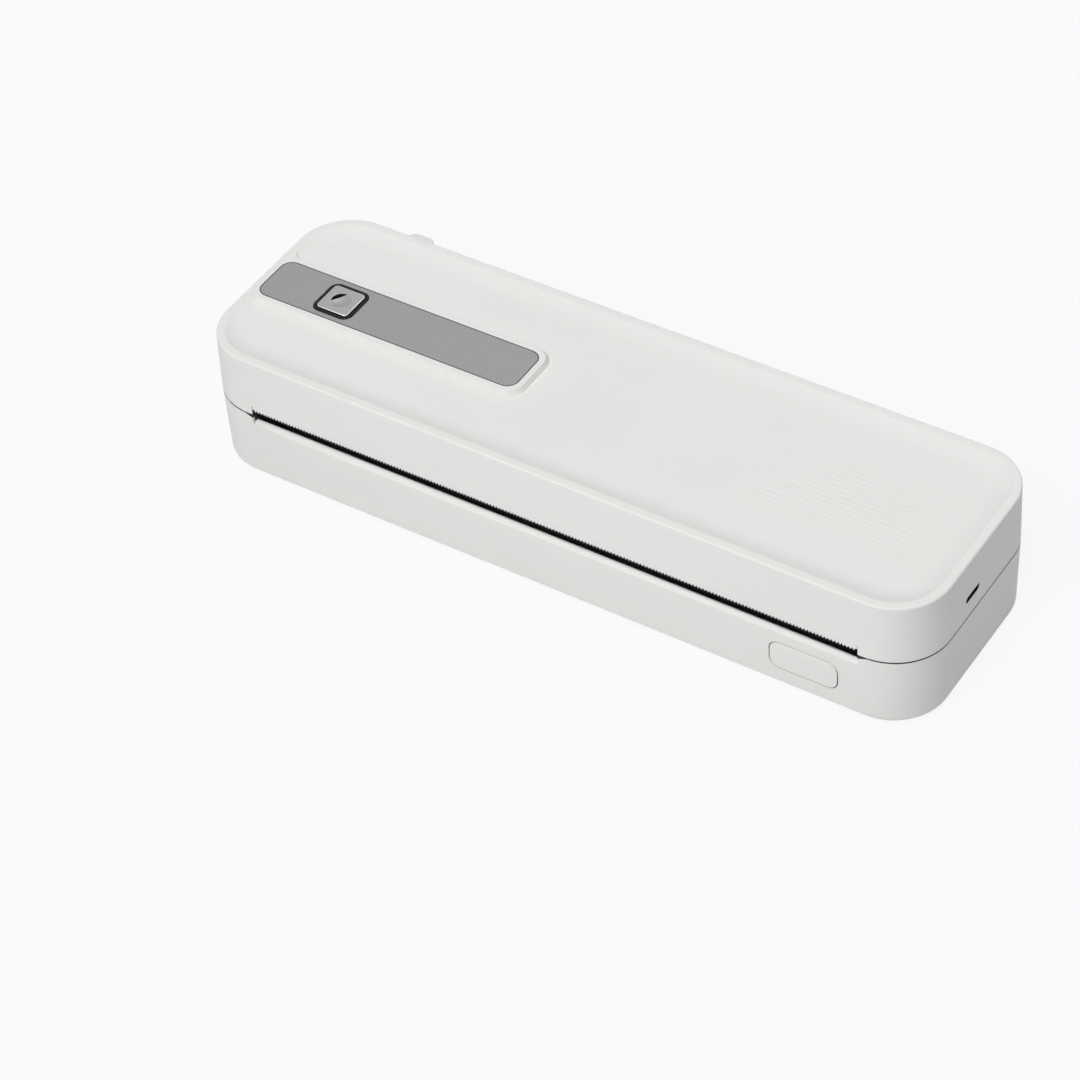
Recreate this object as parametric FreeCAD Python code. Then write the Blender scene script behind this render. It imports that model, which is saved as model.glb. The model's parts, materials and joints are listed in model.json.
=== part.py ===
import FreeCAD, Part
import math
import os
from FreeCAD import Vector

# Driving dimensions in mm: X runs along the paper slot, Y to the rear and Z up from the floor
paper_width = 216.0
end_bay = 28.0
body_depth = 82.0
foot_stand = 1.0
split_height = 27.5
cover_rise = 23.0
split_gap = 0.5
corner_radius = 19.5
top_draft = 0.4
foot_draft = 0.5
wall = 2.0
floor_thick = 2.0
top_edge_round = 0.8
foot_edge_round = 1.5
overrun = 1.0

# Clearances
slide_gap = 0.3
running_gap = 0.05
seat_gap = 0.1

# Dish, island and ridges in the top
rim_width = 3.0
dish_depth = 1.6
cove_radius = 19.5
skin_thick = 1.7
island_margin = 2.2
island_flank = 1.2
island_corner = 5.8
island_root = 4.5
ridge_pitch = 2.08
ridge_width = 1.5
ridge_depth = 0.04
ridge_count = 16
ridge_run = 66.0
ridge_run_rear = 40.0
ridge_end_inset = 12.0

# Control plate, bezel and power key
plate_end_inset = 3.6
plate_length = 102.2
plate_width = 19.0
plate_thick = 0.8
plate_corner = 4.0
plate_gap = 0.25
key_inset = 32.0
bezel_size = 15.2
bezel_corner = 3.2
bezel_proud = 0.2
key_size = 12.3
key_corner = 1.4
key_gap = 0.3
key_proud = 0.6
key_travel = 0.6
key_flange = 0.45
key_flange_thick = 1.0
key_stem_radius = 2.0
key_stem = 1.6
dimple_radius = 9.1
dimple_depth = 0.7

# Front slot, lip and tear bar
slot_margin = 6.2
slot_rise = 3.9
lip_sink = 3.35
lip_run = 1.6
lip_drop = 1.1
lip_crest = 2.2
lip_wall = 3.2
lip_back_drop = 1.2
lip_ramp = 3.2
lip_ramp_drop = 1.3
tear_thick = 2.0
tear_pitch = 1.2
tear_tooth = 1.0
tear_strip = 1.4
tear_flange = 1.3
tear_flange_height = 3.6

# Rear inlet and hinge
inlet_margin = 8.5
inlet_rise = 5.5
hinge_in = 4.0
hinge_drop = 6.5
hinge_barrel = 3.2
hinge_pin_radius = 1.5
pillar_width = 6.0
pillar_inset = 0.3
knuckle_width = 6.0
dip_gap = 0.5

# Platen, its bearings and cheeks
platen_radius = 6.0
platen_step = 2.5
nip_sink = 0.5
roller_overhang = 2.0
shaft_radius = 3.0
bearing_radius = 4.5
cheek_thick = 2.0
cheek_gap = 4.0
cheek_front = 6.5
cheek_rear = 10.0
cheek_top = 4.8
cheek_rib = 1.2
cheek_rib_height = 3.0
shaft_stub = 1.5

# Gear train: all gears share one module and one plane
gear_module = 0.6
gear_width = 4.0
gear_cheek_gap = 3.5
platen_teeth = 28
idler_teeth = 22
pinion_teeth = 14
gear_backlash = 0.14
idler_tilt = 25.0
pressure_angle = 20.0
addendum_share = 0.9
dedendum_share = 1.2
stud_radius = 1.5
pinion_shaft_radius = 1.0

# Motor and its plate
motor_radius = 8.0
motor_roof_gap = 0.9116
motor_liner_gap = 0.5
motor_collar_radius = 3.0
motor_collar = 0.8
motor_plate_thick = 1.5
motor_plate_gap = 0.5
plate_margin = 3.0
motor_flange = 8.0

# Print head, bracket and springs
head_overhang = 4.0
ceramic_thick = 0.7
ceramic_front = 7.5
ceramic_rear = 4.0
head_gap = 0.3
heatsink_front = 8.5
heatsink_rear = 6.5
heatsink_thick = 5.0
head_pivot_back = 4.5
head_pivot_radius = 1.0
head_pivot_reach = 5.0
head_pivot_rise = 2.6
bracket_thick = 1.2
bracket_gap = 3.0
bracket_front = 9.5
bracket_rear = 5.0
bracket_end_gap = 1.0
bracket_boss_shares = (-0.8, 0.0, 0.8)
spring_count = 4
spring_radius = 2.4
spring_wire = 0.7
spring_turns = 2
spring_front = 4.0

# Liner plate inside the cover
liner_thick = 1.5
liner_drop = 13.7
liner_front_gap = 3.0
liner_rear_gap = 3.0
liner_rib = 1.5
liner_rib_height = 1.5
liner_rib_count = 5
liner_boss_inset = 6.0

# Bosses and screws
boss_radius = 3.0
screw_radius = 1.1
screw_head_radius = 2.2
screw_head = 1.3
screw_length = 6.0

# Boards, battery and ribbons
board_thick = 1.6
board_gap = 2.0
board_length = 43.0
board_front_gap = 10.0
board_rear_gap = 8.0
board_boss_inset = 4.0
switch_size = 6.0
switch_plunger = 1.8
switch_margin = 2.0
chip_height = 1.2
chip_size = 9.0
chip_count = 3
plug_depth = 4.0
plug_height = 2.0
plug_width = 22.0
cell_end_room = 35.5
cell_front_room = 20.0
cell_roof_gap = 3.7
cell_gap = 2.0
cell_corner = 2.0
usb_across = 6.7
usb_rise = 7.4
usb_width = 8.9
usb_thick = 3.2
usb_depth = 7.4
usb_shell = 0.3
usb_tongue = 0.7
usb_tongue_depth = 4.6
usb_tongue_width = 6.2
usb_set_back = 2.2
port_width = 9.2
port_thick = 2.7
usb_board_length = 19.0
usb_board_width = 26.0
usb_board_end_gap = 1.0
ribbon_thick = 0.3
power_ribbon_width = 8.0
ribbon_cell_gap = 6.0
ribbon_bend_gap = 2.0
sensor_length = 6.0
sensor_width = 4.0
sensor_thick = 1.8
sensor_window = 1.2

# Paper bay liner in the base
bay_floor_gap = 1.8
bay_wall = 1.5
bay_centre_sink = 0.2
bay_sink = 2.3
bay_deck = 8.0
deck_gap = 2.0
bay_end_gap = 1.5
bay_rear_gap = 7.5
bay_post_radius = 3.2
bay_post_drop = 11.3
bay_post_inset = 8.5
bay_boss = 4.0
bay_boss_radius = 4.5
counterbore = 1.8

# Latch bar and release button
latch_back = 11.0
latch_lift = 1.1
latch_gear_gap = 1.0
latch_shaft_radius = 2.0
latch_hub_radius = 3.2
hook_gear_gap = 2.0
hook_thick = 2.0
hook_rise = 5.5
hook_nose = 1.8
hook_nose_thick = 2.0
hook_depth = 3.0
hook_lean = 1.2
ledge_thick = 1.5
ledge_gap = 0.3
release_right_inset = 29.0
release_width = 24.0
release_bottom = 7.9
release_head_gap = 4.35
release_corner = 3.5
release_proud = 0.2
release_flange = 1.0
release_flange_thick = 1.4
nub_height_share = 0.6574
paddle_width = 6.0
paddle_thick = 1.4
paddle_lead = 5.0
nub_width = 5.0
nub_tall = 1.4
latch_spring_wire = 0.6
latch_spring_turns = 4
latch_spring_gap = 0.5
latch_spring_pitch = 1.2
latch_spring_inset = 60.0

# Rear paper guide
guide_width = 8.0
guide_flare = 2.2
guide_reach = 21.0
guide_rise = 3.5
guide_thick = 3.4
guide_corner = 3.0
guide_skirt = 1.7
guide_skirt_drop = 7.0
guide_inner_drop = 5.0
guide_flare_gap = 1.2

# Feet
foot_radius = 6.0
foot_end_inset = 36.0
foot_side_inset = 15.0

# Places that follow from the sizes above
body_length = paper_width + 2 * end_bay
half_length = body_length / 2
half_depth = body_depth / 2
half_paper = paper_width / 2
front = -half_depth
rear = half_depth
body_top = split_height + cover_rise
base_rim = split_height - split_gap / 2
cover_foot = split_height + split_gap / 2
base_floor = foot_stand + floor_thick
slot_top = split_height + slot_rise
lip_top = split_height - lip_sink
inlet_top = split_height + inlet_rise
nip_height = split_height - nip_sink
usb_height = split_height + usb_rise
hook_top = split_height + hook_rise
guide_top = split_height + guide_rise
dish_floor = body_top - dish_depth
skin_under = dish_floor - skin_thick
slot_half = half_paper + slot_margin
inlet_half = half_paper + inlet_margin
platen_z = nip_height - platen_radius
latch_y = front + latch_back
latch_z = release_bottom + latch_lift
gear_reach = gear_module * (platen_teeth / 2 + addendum_share)
latch_clear = gear_reach + latch_shaft_radius + latch_gear_gap
platen_clear = math.sqrt(max(0.0, latch_clear ** 2 - (platen_z - latch_z) ** 2))
platen_y = latch_y + max(platen_step, platen_clear)
hinge_y = rear - hinge_in
hinge_z = body_top - hinge_drop
pillar_in = inlet_half + knuckle_width / 4
pillar_out = pillar_in + pillar_width
cheek_in = half_paper + roller_overhang + cheek_gap + bay_end_gap
cheek_out = cheek_in + cheek_thick
gear_left = -(cheek_out + gear_cheek_gap + gear_width)
gear_right = gear_left + gear_width
head_half = half_paper + head_overhang
bracket_half = head_half + bracket_end_gap
key_x = -half_length + key_inset
plate_left = -half_length + plate_end_inset
plate_right = plate_left + plate_length
island_right = plate_right + island_margin
island_half = plate_width / 2 + island_margin
guide_tip = rear + guide_reach
guide_inner = -(half_paper + slide_gap)
frame_shift = guide_reach / 2
liner_half = half_paper
ceramic_under = nip_height + head_gap
heatsink_under = ceramic_under + ceramic_thick
heatsink_top = heatsink_under + heatsink_thick
bracket_under = heatsink_top + bracket_gap
bracket_top = bracket_under + bracket_thick
liner_height = skin_under - liner_drop
liner_top = liner_height + liner_thick
board_height = liner_top + board_gap
board_top = board_height + board_thick
release_right = half_length - release_right_inset
release_left = release_right - release_width
release_mid = (release_left + release_right) / 2
release_tall = lip_top - lip_drop - release_head_gap - release_bottom
release_bend = min(release_corner, release_tall / 2 - running_gap)
release_arm = release_bottom + nub_height_share * release_tall - latch_z
hook_in = hook_gear_gap - gear_left
hook_out = hook_in + hook_thick
deck_front = platen_y + platen_radius + deck_gap
bay_centre_z = split_height - bay_centre_sink
bay_top = split_height - bay_sink
bay_rear = rear - bay_rear_gap
bay_outer = min(bay_centre_z - base_floor - bay_floor_gap, (bay_rear - deck_front - bay_deck) / 2)
bay_radius = bay_outer - bay_wall
bay_y = bay_rear - bay_outer
bay_post_top = bay_centre_z - bay_post_drop
bay_post_step = bay_outer - bay_post_inset


def box(x0, x1, y0, y1, z0, z1):
    """Block between two corners."""
    return Part.makeBox(x1 - x0, y1 - y0, z1 - z0, Vector(x0, y0, z0))


def rod(x0, x1, y, z, radius):
    """Round bar along X."""
    return Part.makeCylinder(radius, x1 - x0, Vector(x0, y, z), Vector(1, 0, 0))


def post(x, y, z0, z1, radius):
    """Upright round post."""
    return Part.makeCylinder(radius, z1 - z0, Vector(x, y, z0))


def outline(x0, x1, y0, y1, radius, z):
    """Rectangle with round corners, flat at a height."""
    reach = radius * (1 - math.sqrt(0.5))
    corners = ((x1, y0, -1, 1), (x1, y1, -1, -1), (x0, y1, 1, -1), (x0, y0, 1, 1))
    edges = []
    last = None
    first = None
    for index, (cx, cy, sx, sy) in enumerate(corners):
        along_x = Vector(cx + sx * radius, cy, z)
        along_y = Vector(cx, cy + sy * radius, z)
        middle = Vector(cx + sx * reach, cy + sy * reach, z)
        start, end = (along_x, along_y) if index % 2 == 0 else (along_y, along_x)
        if last is None:
            first = start
        else:
            edges.append(Part.LineSegment(last, start).toShape())
        edges.append(Part.Arc(start, middle, end).toShape())
        last = end
    edges.append(Part.LineSegment(last, first).toShape())
    return Part.Wire(edges)


def slab(x0, x1, y0, y1, radius, z0, z1):
    """Plate with round corners."""
    return Part.Face(outline(x0, x1, y0, y1, radius, z0)).extrude(Vector(0, 0, z1 - z0))


def section(z, inset=0.0):
    """Outline of the body at a height, drawn in by its draft and an inset."""
    if z > split_height:
        draw = top_draft * (z - split_height) / (body_top - split_height)
    else:
        draw = foot_draft * (split_height - z) / (split_height - foot_stand)
    step = draw + inset
    return outline(-half_length + step, half_length - step, front + step, rear - step,
                   corner_radius - step, z)


def island_outline(z, flank):
    """Outline of the island at a height: round at its free end and flared where it meets the rim."""
    far = -half_length - cove_radius
    root = -half_length + top_draft + rim_width
    right = island_right + flank
    half = island_half + flank
    corner = island_corner + flank
    flare = island_root - flank
    turn = math.sqrt(0.5)
    edges = []
    last = Vector(far, -island_half - island_root, z)
    first = last
    for side in (-1, 1):
        flare_mid = Vector(root + island_root, side * (island_half + island_root), z)
        arc_flare = [Vector(root + flank, flare_mid.y, z),
                     flare_mid + Vector(-flare * turn, -side * flare * turn, 0),
                     Vector(flare_mid.x, side * half, z)]
        corner_mid = Vector(right - corner, side * (half - corner), z)
        arc_corner = [Vector(corner_mid.x, side * half, z),
                      corner_mid + Vector(corner * turn, side * corner * turn, 0),
                      Vector(right, corner_mid.y, z)]
        arcs = [arc_flare, arc_corner] if side < 0 else [arc_corner[::-1], arc_flare[::-1]]
        for arc in arcs:
            edges.append(Part.LineSegment(last, arc[0]).toShape())
            edges.append(Part.Arc(*arc).toShape())
            last = arc[2]
    corner_far = Vector(far, island_half + island_root, z)
    edges.append(Part.LineSegment(last, corner_far).toShape())
    edges.append(Part.LineSegment(corner_far, first).toShape())
    return Part.Wire(edges)


def drafted(z0, z1, inset=0.0):
    """Solid of the body's outline between two heights on one side of the split."""
    return Part.makeLoft([section(z0, inset), section(z1, inset)], True, True)


def flat_edges(shape, z):
    """Edges that lie in a level plane."""
    found = []
    for edge in shape.Edges:
        bounds = edge.BoundBox
        if abs(bounds.ZMin - z) < running_gap and abs(bounds.ZMax - z) < running_gap:
            found.append(edge)
    return found


def prism(points, depth_vector):
    """Straight-edged outline pushed along a vector."""
    return Part.Face(Part.makePolygon(points + points[:1])).extrude(depth_vector)


def join(first, *others):
    """Fuse pieces and merge their flush faces."""
    return first.fuse(list(others)).removeSplitter()


def gear(teeth, x0, width, y, z, phase, bore):
    """Spur gear about an X axis with involute flanks drawn as arcs."""
    pitch_radius = gear_module * teeth / 2
    base_radius = pitch_radius * math.cos(math.radians(pressure_angle))
    tip_radius = pitch_radius + addendum_share * gear_module
    root_radius = pitch_radius - dedendum_share * gear_module
    flank_radius = max(base_radius, root_radius)

    def roll(radius):
        angle = math.acos(min(1.0, base_radius / radius))
        return math.tan(angle) - angle

    def half_angle(radius):
        at_pitch = math.pi / (2 * teeth) - gear_backlash / (4 * pitch_radius)
        return at_pitch + roll(pitch_radius) - roll(radius)

    def at(radius, angle):
        return Vector(x0, y + radius * math.cos(angle), z + radius * math.sin(angle))

    middle_radius = (flank_radius + tip_radius) / 2
    step = 2 * math.pi / teeth
    edges = []
    for index in range(teeth):
        centre = phase + index * step
        foot, mid, tip = half_angle(flank_radius), half_angle(middle_radius), half_angle(tip_radius)
        root_start = at(root_radius, centre - foot)
        rise = [at(flank_radius, centre - foot), at(middle_radius, centre - mid),
                at(tip_radius, centre - tip)]
        fall = [at(tip_radius, centre + tip), at(middle_radius, centre + mid),
                at(flank_radius, centre + foot)]
        root_end = at(root_radius, centre + foot)
        next_root = at(root_radius, centre + step - foot)
        if flank_radius > root_radius:
            edges.append(Part.LineSegment(root_start, rise[0]).toShape())
        edges.append(Part.Arc(*rise).toShape())
        edges.append(Part.Arc(rise[2], at(tip_radius, centre), fall[0]).toShape())
        edges.append(Part.Arc(*fall).toShape())
        if flank_radius > root_radius:
            edges.append(Part.LineSegment(fall[2], root_end).toShape())
        edges.append(Part.Arc(root_end, at(root_radius, centre + step / 2), next_root).toShape())
    blank = Part.Face(Part.Wire(edges)).extrude(Vector(width, 0, 0))
    return blank.cut(rod(x0 - overrun, x0 + width + overrun, y, z, bore))


def coil(x, y, z, axis, radius, pitch, turns, wire):
    """Round wire wound as a helix of quarter-turn arcs about an axis through a point."""
    axis = Vector(axis)
    side = Vector(0, 1, 0)
    across = axis.cross(side)
    edges = []
    quarter = math.pi / 2

    def at(angle):
        turn = angle / (2 * math.pi)
        return (Vector(x, y, z) + axis * (pitch * turn) + side * (radius * math.cos(angle))
                + across * (radius * math.sin(angle)))

    for index in range(4 * turns):
        start = index * quarter
        edges.append(Part.Arc(at(start), at(start + quarter / 2), at(start + quarter)).toShape())
    path = Part.Wire(edges)
    tangent = path.Edges[0].tangentAt(path.Edges[0].FirstParameter)
    ring = Part.Wire(Part.Circle(at(0), tangent, wire / 2).toShape())
    return path.makePipeShell([ring], True, False)


def screw(x, y, z_seat, up):
    """Pan-head screw whose head seats at a height and whose shank points up or down."""
    head_low, head_high = (z_seat - screw_head, z_seat) if up else (z_seat, z_seat + screw_head)
    shank_low, shank_high = (z_seat, z_seat + screw_length) if up else (z_seat - screw_length, z_seat)
    head = post(x, y, head_low, head_high, screw_head_radius)
    return join(head, post(x, y, shank_low, shank_high, screw_radius))


def pilot(x, y, z0, z1):
    """Clear hole for a screw's shank."""
    return post(x, y, z0, z1, screw_radius + running_gap)


# Gear centres, turned so that teeth meet gaps
mesh_radius = [gear_module * teeth / 2 for teeth in (platen_teeth, idler_teeth, pinion_teeth)]
first_angle = math.radians(90 - idler_tilt)
first_span = mesh_radius[0] + mesh_radius[1]
second_span = mesh_radius[1] + mesh_radius[2]
idler_y = platen_y + first_span * math.cos(first_angle)
idler_z = platen_z + first_span * math.sin(first_angle)
motor_z = skin_under - motor_roof_gap - motor_radius
second_angle = math.asin((motor_z - idler_z) / second_span)
motor_y = idler_y + second_span * math.cos(second_angle)
motor_left = gear_right + motor_plate_gap + motor_plate_thick
motor_length = -half_paper - motor_liner_gap - motor_left
platen_phase = first_angle
idler_phase = first_angle + math.pi + math.pi / idler_teeth
tooth_offset = idler_phase - second_angle
pinion_phase = (second_angle + math.pi - tooth_offset * mesh_radius[1] / mesh_radius[2]
                + math.pi / pinion_teeth)

# Boss places shared by the cover and what it carries
liner_boss_x = half_paper - liner_boss_inset
liner_front = platen_y + heatsink_rear + liner_front_gap
liner_rear = rear - wall - liner_rear_gap
liner_boss_y = (liner_front + boss_radius, liner_rear - boss_radius)
liner_bosses = [(side * liner_boss_x, y) for side in (-1, 1) for y in liner_boss_y]
bracket_boss_y = platen_y - bracket_front + 2 * boss_radius
bracket_bosses = [(share * head_half, bracket_boss_y) for share in bracket_boss_shares]
board_left = -half_paper + cell_gap / 4
board_right = board_left + board_length
board_near = min(liner_front + board_front_gap, -switch_size / 2 - board_boss_inset / 4)
board_far = liner_rear - board_rear_gap
board_boss_x = (board_left + board_boss_inset, board_right - board_boss_inset)
board_boss_y = board_far - board_boss_inset
board_bosses = [(x, board_boss_y) for x in board_boss_x]
chip_left = key_x + switch_size / 2 + switch_margin
chip_y = board_boss_y - boss_radius - chip_size / 2 - switch_margin
cells_left = board_right + cell_gap
cell_length = (liner_boss_x - boss_radius - cell_end_room - cells_left - cell_gap) / 2
cell_front = liner_front + cell_front_room
usb_end = half_length - wall - top_draft - usb_board_end_gap
usb_board_left = usb_end - usb_board_length
usb_board_top = usb_height - usb_thick / 2
usb_y = -usb_across
usb_boss_step = usb_board_width / 2 - board_boss_inset
usb_bosses = [(usb_board_left + board_boss_inset, usb_y + side * usb_boss_step) for side in (-1, 1)]
bay_post_x = half_paper + roller_overhang + bay_wall / 2 + bay_post_radius
bay_post_y = (bay_y - bay_post_step, bay_y + bay_post_step)
bay_posts = [(side * bay_post_x, y) for side in (-1, 1) for y in bay_post_y]


def make_base_shell():
    """Lower casing: an open tub with the slot lip, hinge pillars, ribs and screw bosses."""
    shell = drafted(foot_stand, base_rim)
    shell = shell.makeFillet(foot_edge_round, flat_edges(shell, foot_stand))
    cavity = drafted(base_floor, base_rim, wall)
    cavity = cavity.cut(box(-slot_half - wall, slot_half + wall, front, front + lip_wall, 0, base_rim))
    shell = shell.cut(cavity)
    inside = Part.Face(section(base_floor, pillar_inset)).extrude(Vector(0, 0, body_top))
    extras = []
    for side in (-1, 1):
        near, far = sorted((side * pillar_in, side * pillar_out))
        stem = box(near, far, hinge_y - hinge_barrel, hinge_y + hinge_barrel,
                   base_floor - floor_thick / 2, hinge_z)
        lug = join(stem, rod(near, far, hinge_y, hinge_z, hinge_barrel)).common(inside)
        extras.append(lug.cut(rod(near, far, hinge_y, hinge_z, hinge_pin_radius)))
        for offset in (cheek_in - slide_gap / 2 - cheek_rib, cheek_out + slide_gap / 2):
            low, high = sorted((side * offset, side * (offset + cheek_rib)))
            extras.append(box(low, high, latch_y - cheek_front, platen_y + cheek_rear,
                              foot_stand + floor_thick / 2, base_floor + cheek_rib_height))
    for x, y in bay_posts:
        extras.append(post(x, y, foot_stand + floor_thick / 2, foot_stand + bay_boss, bay_boss_radius))
    shell = join(shell, *extras)
    for x, y in bay_posts:
        shell = shell.cut(pilot(x, y, 0, foot_stand + bay_boss + overrun))
        shell = shell.cut(post(x, y, 0, foot_stand + counterbore, screw_head_radius + slide_gap))
    lip_inner = front + lip_run
    back_run = 1 + overrun / (lip_wall - lip_crest)
    lip = prism([Vector(-slot_half, front - overrun, lip_top - lip_drop * (1 + overrun / lip_run)),
                 Vector(-slot_half, lip_inner, lip_top),
                 Vector(-slot_half, front + lip_crest, lip_top),
                 Vector(-slot_half, front + lip_wall + overrun, lip_top - lip_back_drop * back_run),
                 Vector(-slot_half, front + lip_wall + overrun, base_rim + overrun),
                 Vector(-slot_half, front - overrun, base_rim + overrun)], Vector(2 * slot_half, 0, 0))
    shell = shell.cut(lip)
    for side in (-1, 1):
        ramp_foot, ramp_head = side * slot_half, side * (slot_half + lip_ramp)
        ramp = prism([Vector(ramp_foot, front - overrun, base_rim - lip_ramp_drop),
                      Vector(ramp_head, front - overrun, base_rim),
                      Vector(ramp_head, front - overrun, base_rim + overrun),
                      Vector(ramp_foot, front - overrun, base_rim + overrun)],
                     Vector(0, lip_wall + 2 * overrun, 0))
        shell = shell.cut(ramp)
    gap = slide_gap
    window = Part.Face(outline(release_left - gap, release_right + gap, release_bottom - gap,
                               release_bottom + release_tall + gap, release_bend + gap, 0))
    window.rotate(Vector(0, 0, 0), Vector(1, 0, 0), 90)
    window.translate(Vector(0, front - overrun, 0))
    return shell.cut(window.extrude(Vector(0, lip_wall + 2 * overrun, 0)))


def make_top_cover():
    """Upper casing with the dished top, island, slot and inlet cuts, hinge knuckles and inner bosses."""
    cover = drafted(cover_foot, body_top)
    cover = cover.makeFillet(top_edge_round, flat_edges(cover, body_top))
    cover = cover.cut(drafted(cover_foot, skin_under, wall))
    rise = cove_radius - dish_depth
    reach = cove_radius - math.sqrt(cove_radius ** 2 - rise ** 2)
    dish = Part.Face(section(body_top, rim_width - reach)).extrude(Vector(0, 0, cove_radius + overrun))
    dish.translate(Vector(0, 0, -dish_depth))
    dish = dish.makeFillet(cove_radius, flat_edges(dish, dish_floor))
    island = [island_outline(dish_floor, island_flank), island_outline(body_top, 0)]
    cover = cover.cut(dish.cut(Part.makeLoft(island, True, True)))
    ridge_right = half_length - ridge_end_inset
    for index in range(ridge_count):
        share = index / (ridge_count - 1)
        y = (share - 0.5) * (ridge_count - 1) * ridge_pitch
        run = ridge_run + share * (ridge_run_rear - ridge_run)
        groove = prism([Vector(ridge_right, y, dish_floor - ridge_depth),
                        Vector(ridge_right, y + ridge_width, dish_floor + ridge_depth),
                        Vector(ridge_right, y - ridge_width, dish_floor + ridge_depth)], Vector(-run, 0, 0))
        cover = cover.cut(groove)
    extras = []
    for x, y in liner_bosses:
        extras.append(post(x, y, liner_top, skin_under + skin_thick / 2, boss_radius))
    for x, y in bracket_bosses:
        extras.append(post(x, y, bracket_top, skin_under + skin_thick / 2, boss_radius))
    for x, y in board_bosses:
        extras.append(post(x, y, board_top, skin_under + skin_thick / 2, boss_radius))
    for x, y in usb_bosses:
        extras.append(post(x, y, usb_board_top, skin_under + skin_thick / 2, boss_radius))
    outer = drafted(cover_foot, body_top - overrun, wall / 2)
    for side in (-1, 1):
        knuckle_out = pillar_in - slide_gap
        low, high = sorted((side * knuckle_out, side * (knuckle_out - knuckle_width)))
        knuckle = box(low, high, hinge_y - hinge_barrel, rear, hinge_z - hinge_barrel,
                      skin_under + skin_thick / 2)
        extras.append(knuckle.common(outer))
        low, high = sorted((side * (hook_in - slide_gap), side * (hook_out + slide_gap)))
        ledge_rear = latch_y - hook_depth / 2 - hook_nose - slide_gap
        ledge_top = hook_top - hook_nose_thick - ledge_gap
        extras.append(box(low, high, front, ledge_rear, ledge_top - ledge_thick, ledge_top).common(outer))
    cover = join(cover, *extras)
    cuts = [box(-slot_half, slot_half, front - overrun, front + wall + 2 * overrun, 0, slot_top),
            box(-inlet_half, inlet_half, rear - wall - 2 * overrun, rear + overrun, 0, inlet_top)]
    for side in (-1, 1):
        low, high = sorted((side * (pillar_in - slide_gap), side * (pillar_out + slide_gap)))
        notch_front = hinge_y - hinge_barrel - slide_gap
        cuts.append(box(low, high, notch_front, rear + overrun, 0, hinge_z))
        cuts.append(rod(low, high, hinge_y, hinge_z, hinge_barrel + slide_gap))
        cuts.append(box(low, high, hinge_y, rear + overrun, hinge_z, hinge_z + hinge_barrel + slide_gap))
        low, high = sorted((0, side * pillar_in))
        cuts.append(rod(low, high, hinge_y, hinge_z, hinge_pin_radius + running_gap))
        low, high = sorted((side * (inlet_half - overrun), side * half_length))
        cuts.append(box(low, high, hinge_y - hinge_barrel, rear + overrun, 0, cover_foot + dip_gap))
    for x, y in liner_bosses:
        cuts.append(pilot(x, y, liner_top - overrun, liner_top + screw_length))
    for x, y in bracket_bosses:
        cuts.append(pilot(x, y, bracket_top - overrun, bracket_top + screw_length))
    for x, y in board_bosses:
        cuts.append(pilot(x, y, board_top - overrun, board_top + screw_length))
    for x, y in usb_bosses:
        cuts.append(pilot(x, y, usb_board_top - overrun, usb_board_top + screw_length))
    gap = plate_gap
    cuts.append(slab(plate_left - gap, plate_right + gap, -plate_width / 2 - gap, plate_width / 2 + gap,
                     plate_corner + gap, body_top - plate_thick, body_top + overrun))
    hole = key_size / 2 + key_gap
    cuts.append(slab(key_x - hole, key_x + hole, -hole, hole, key_corner + key_gap, skin_under - overrun,
                     body_top))
    port = slab(-port_thick / 2, port_thick / 2, -port_width / 2, port_width / 2,
                port_thick / 2 - running_gap, 0, wall + 2 * overrun)
    port.rotate(Vector(0, 0, 0), Vector(0, 1, 0), 90)
    port.translate(Vector(half_length - wall - overrun, usb_y, usb_height))
    cuts.append(port)
    for cut in cuts:
        cover = cover.cut(cut)
    return cover


def make_control_plate():
    """Bare silver plate with a square hole for the bezel."""
    plate = slab(plate_left, plate_right, -plate_width / 2, plate_width / 2, plate_corner,
                 body_top - plate_thick, body_top)
    hole = bezel_size / 2 + seat_gap
    return plate.cut(slab(key_x - hole, key_x + hole, -hole, hole, bezel_corner + seat_gap,
                          body_top - 2 * plate_thick, body_top + overrun))


def make_button_bezel():
    """Dark square ring round the power key."""
    half = bezel_size / 2
    bezel = slab(key_x - half, key_x + half, -half, half, bezel_corner, body_top - plate_thick,
                 body_top + bezel_proud)
    hole = key_size / 2 + key_gap
    return bezel.cut(slab(key_x - hole, key_x + hole, -hole, hole, key_corner + key_gap,
                          body_top - 2 * plate_thick, body_top + overrun))


def make_power_button():
    """Square key with a dished top, a keeper flange under the skin and a stem."""
    half = key_size / 2
    top = body_top + key_proud
    flange_top = skin_under - slide_gap
    key = slab(key_x - half, key_x + half, -half, half, key_corner, flange_top - key_flange_thick, top)
    wide = half + key_gap + key_flange
    flange = slab(key_x - wide, key_x + wide, -wide, wide, key_corner, flange_top - key_flange_thick,
                  flange_top)
    stem = post(key_x, 0, flange_top - key_flange_thick - key_stem, flange_top, key_stem_radius)
    dimple = Part.makeSphere(dimple_radius, Vector(key_x, 0, top + dimple_radius - dimple_depth))
    return join(key, flange, stem).cut(dimple)


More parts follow.
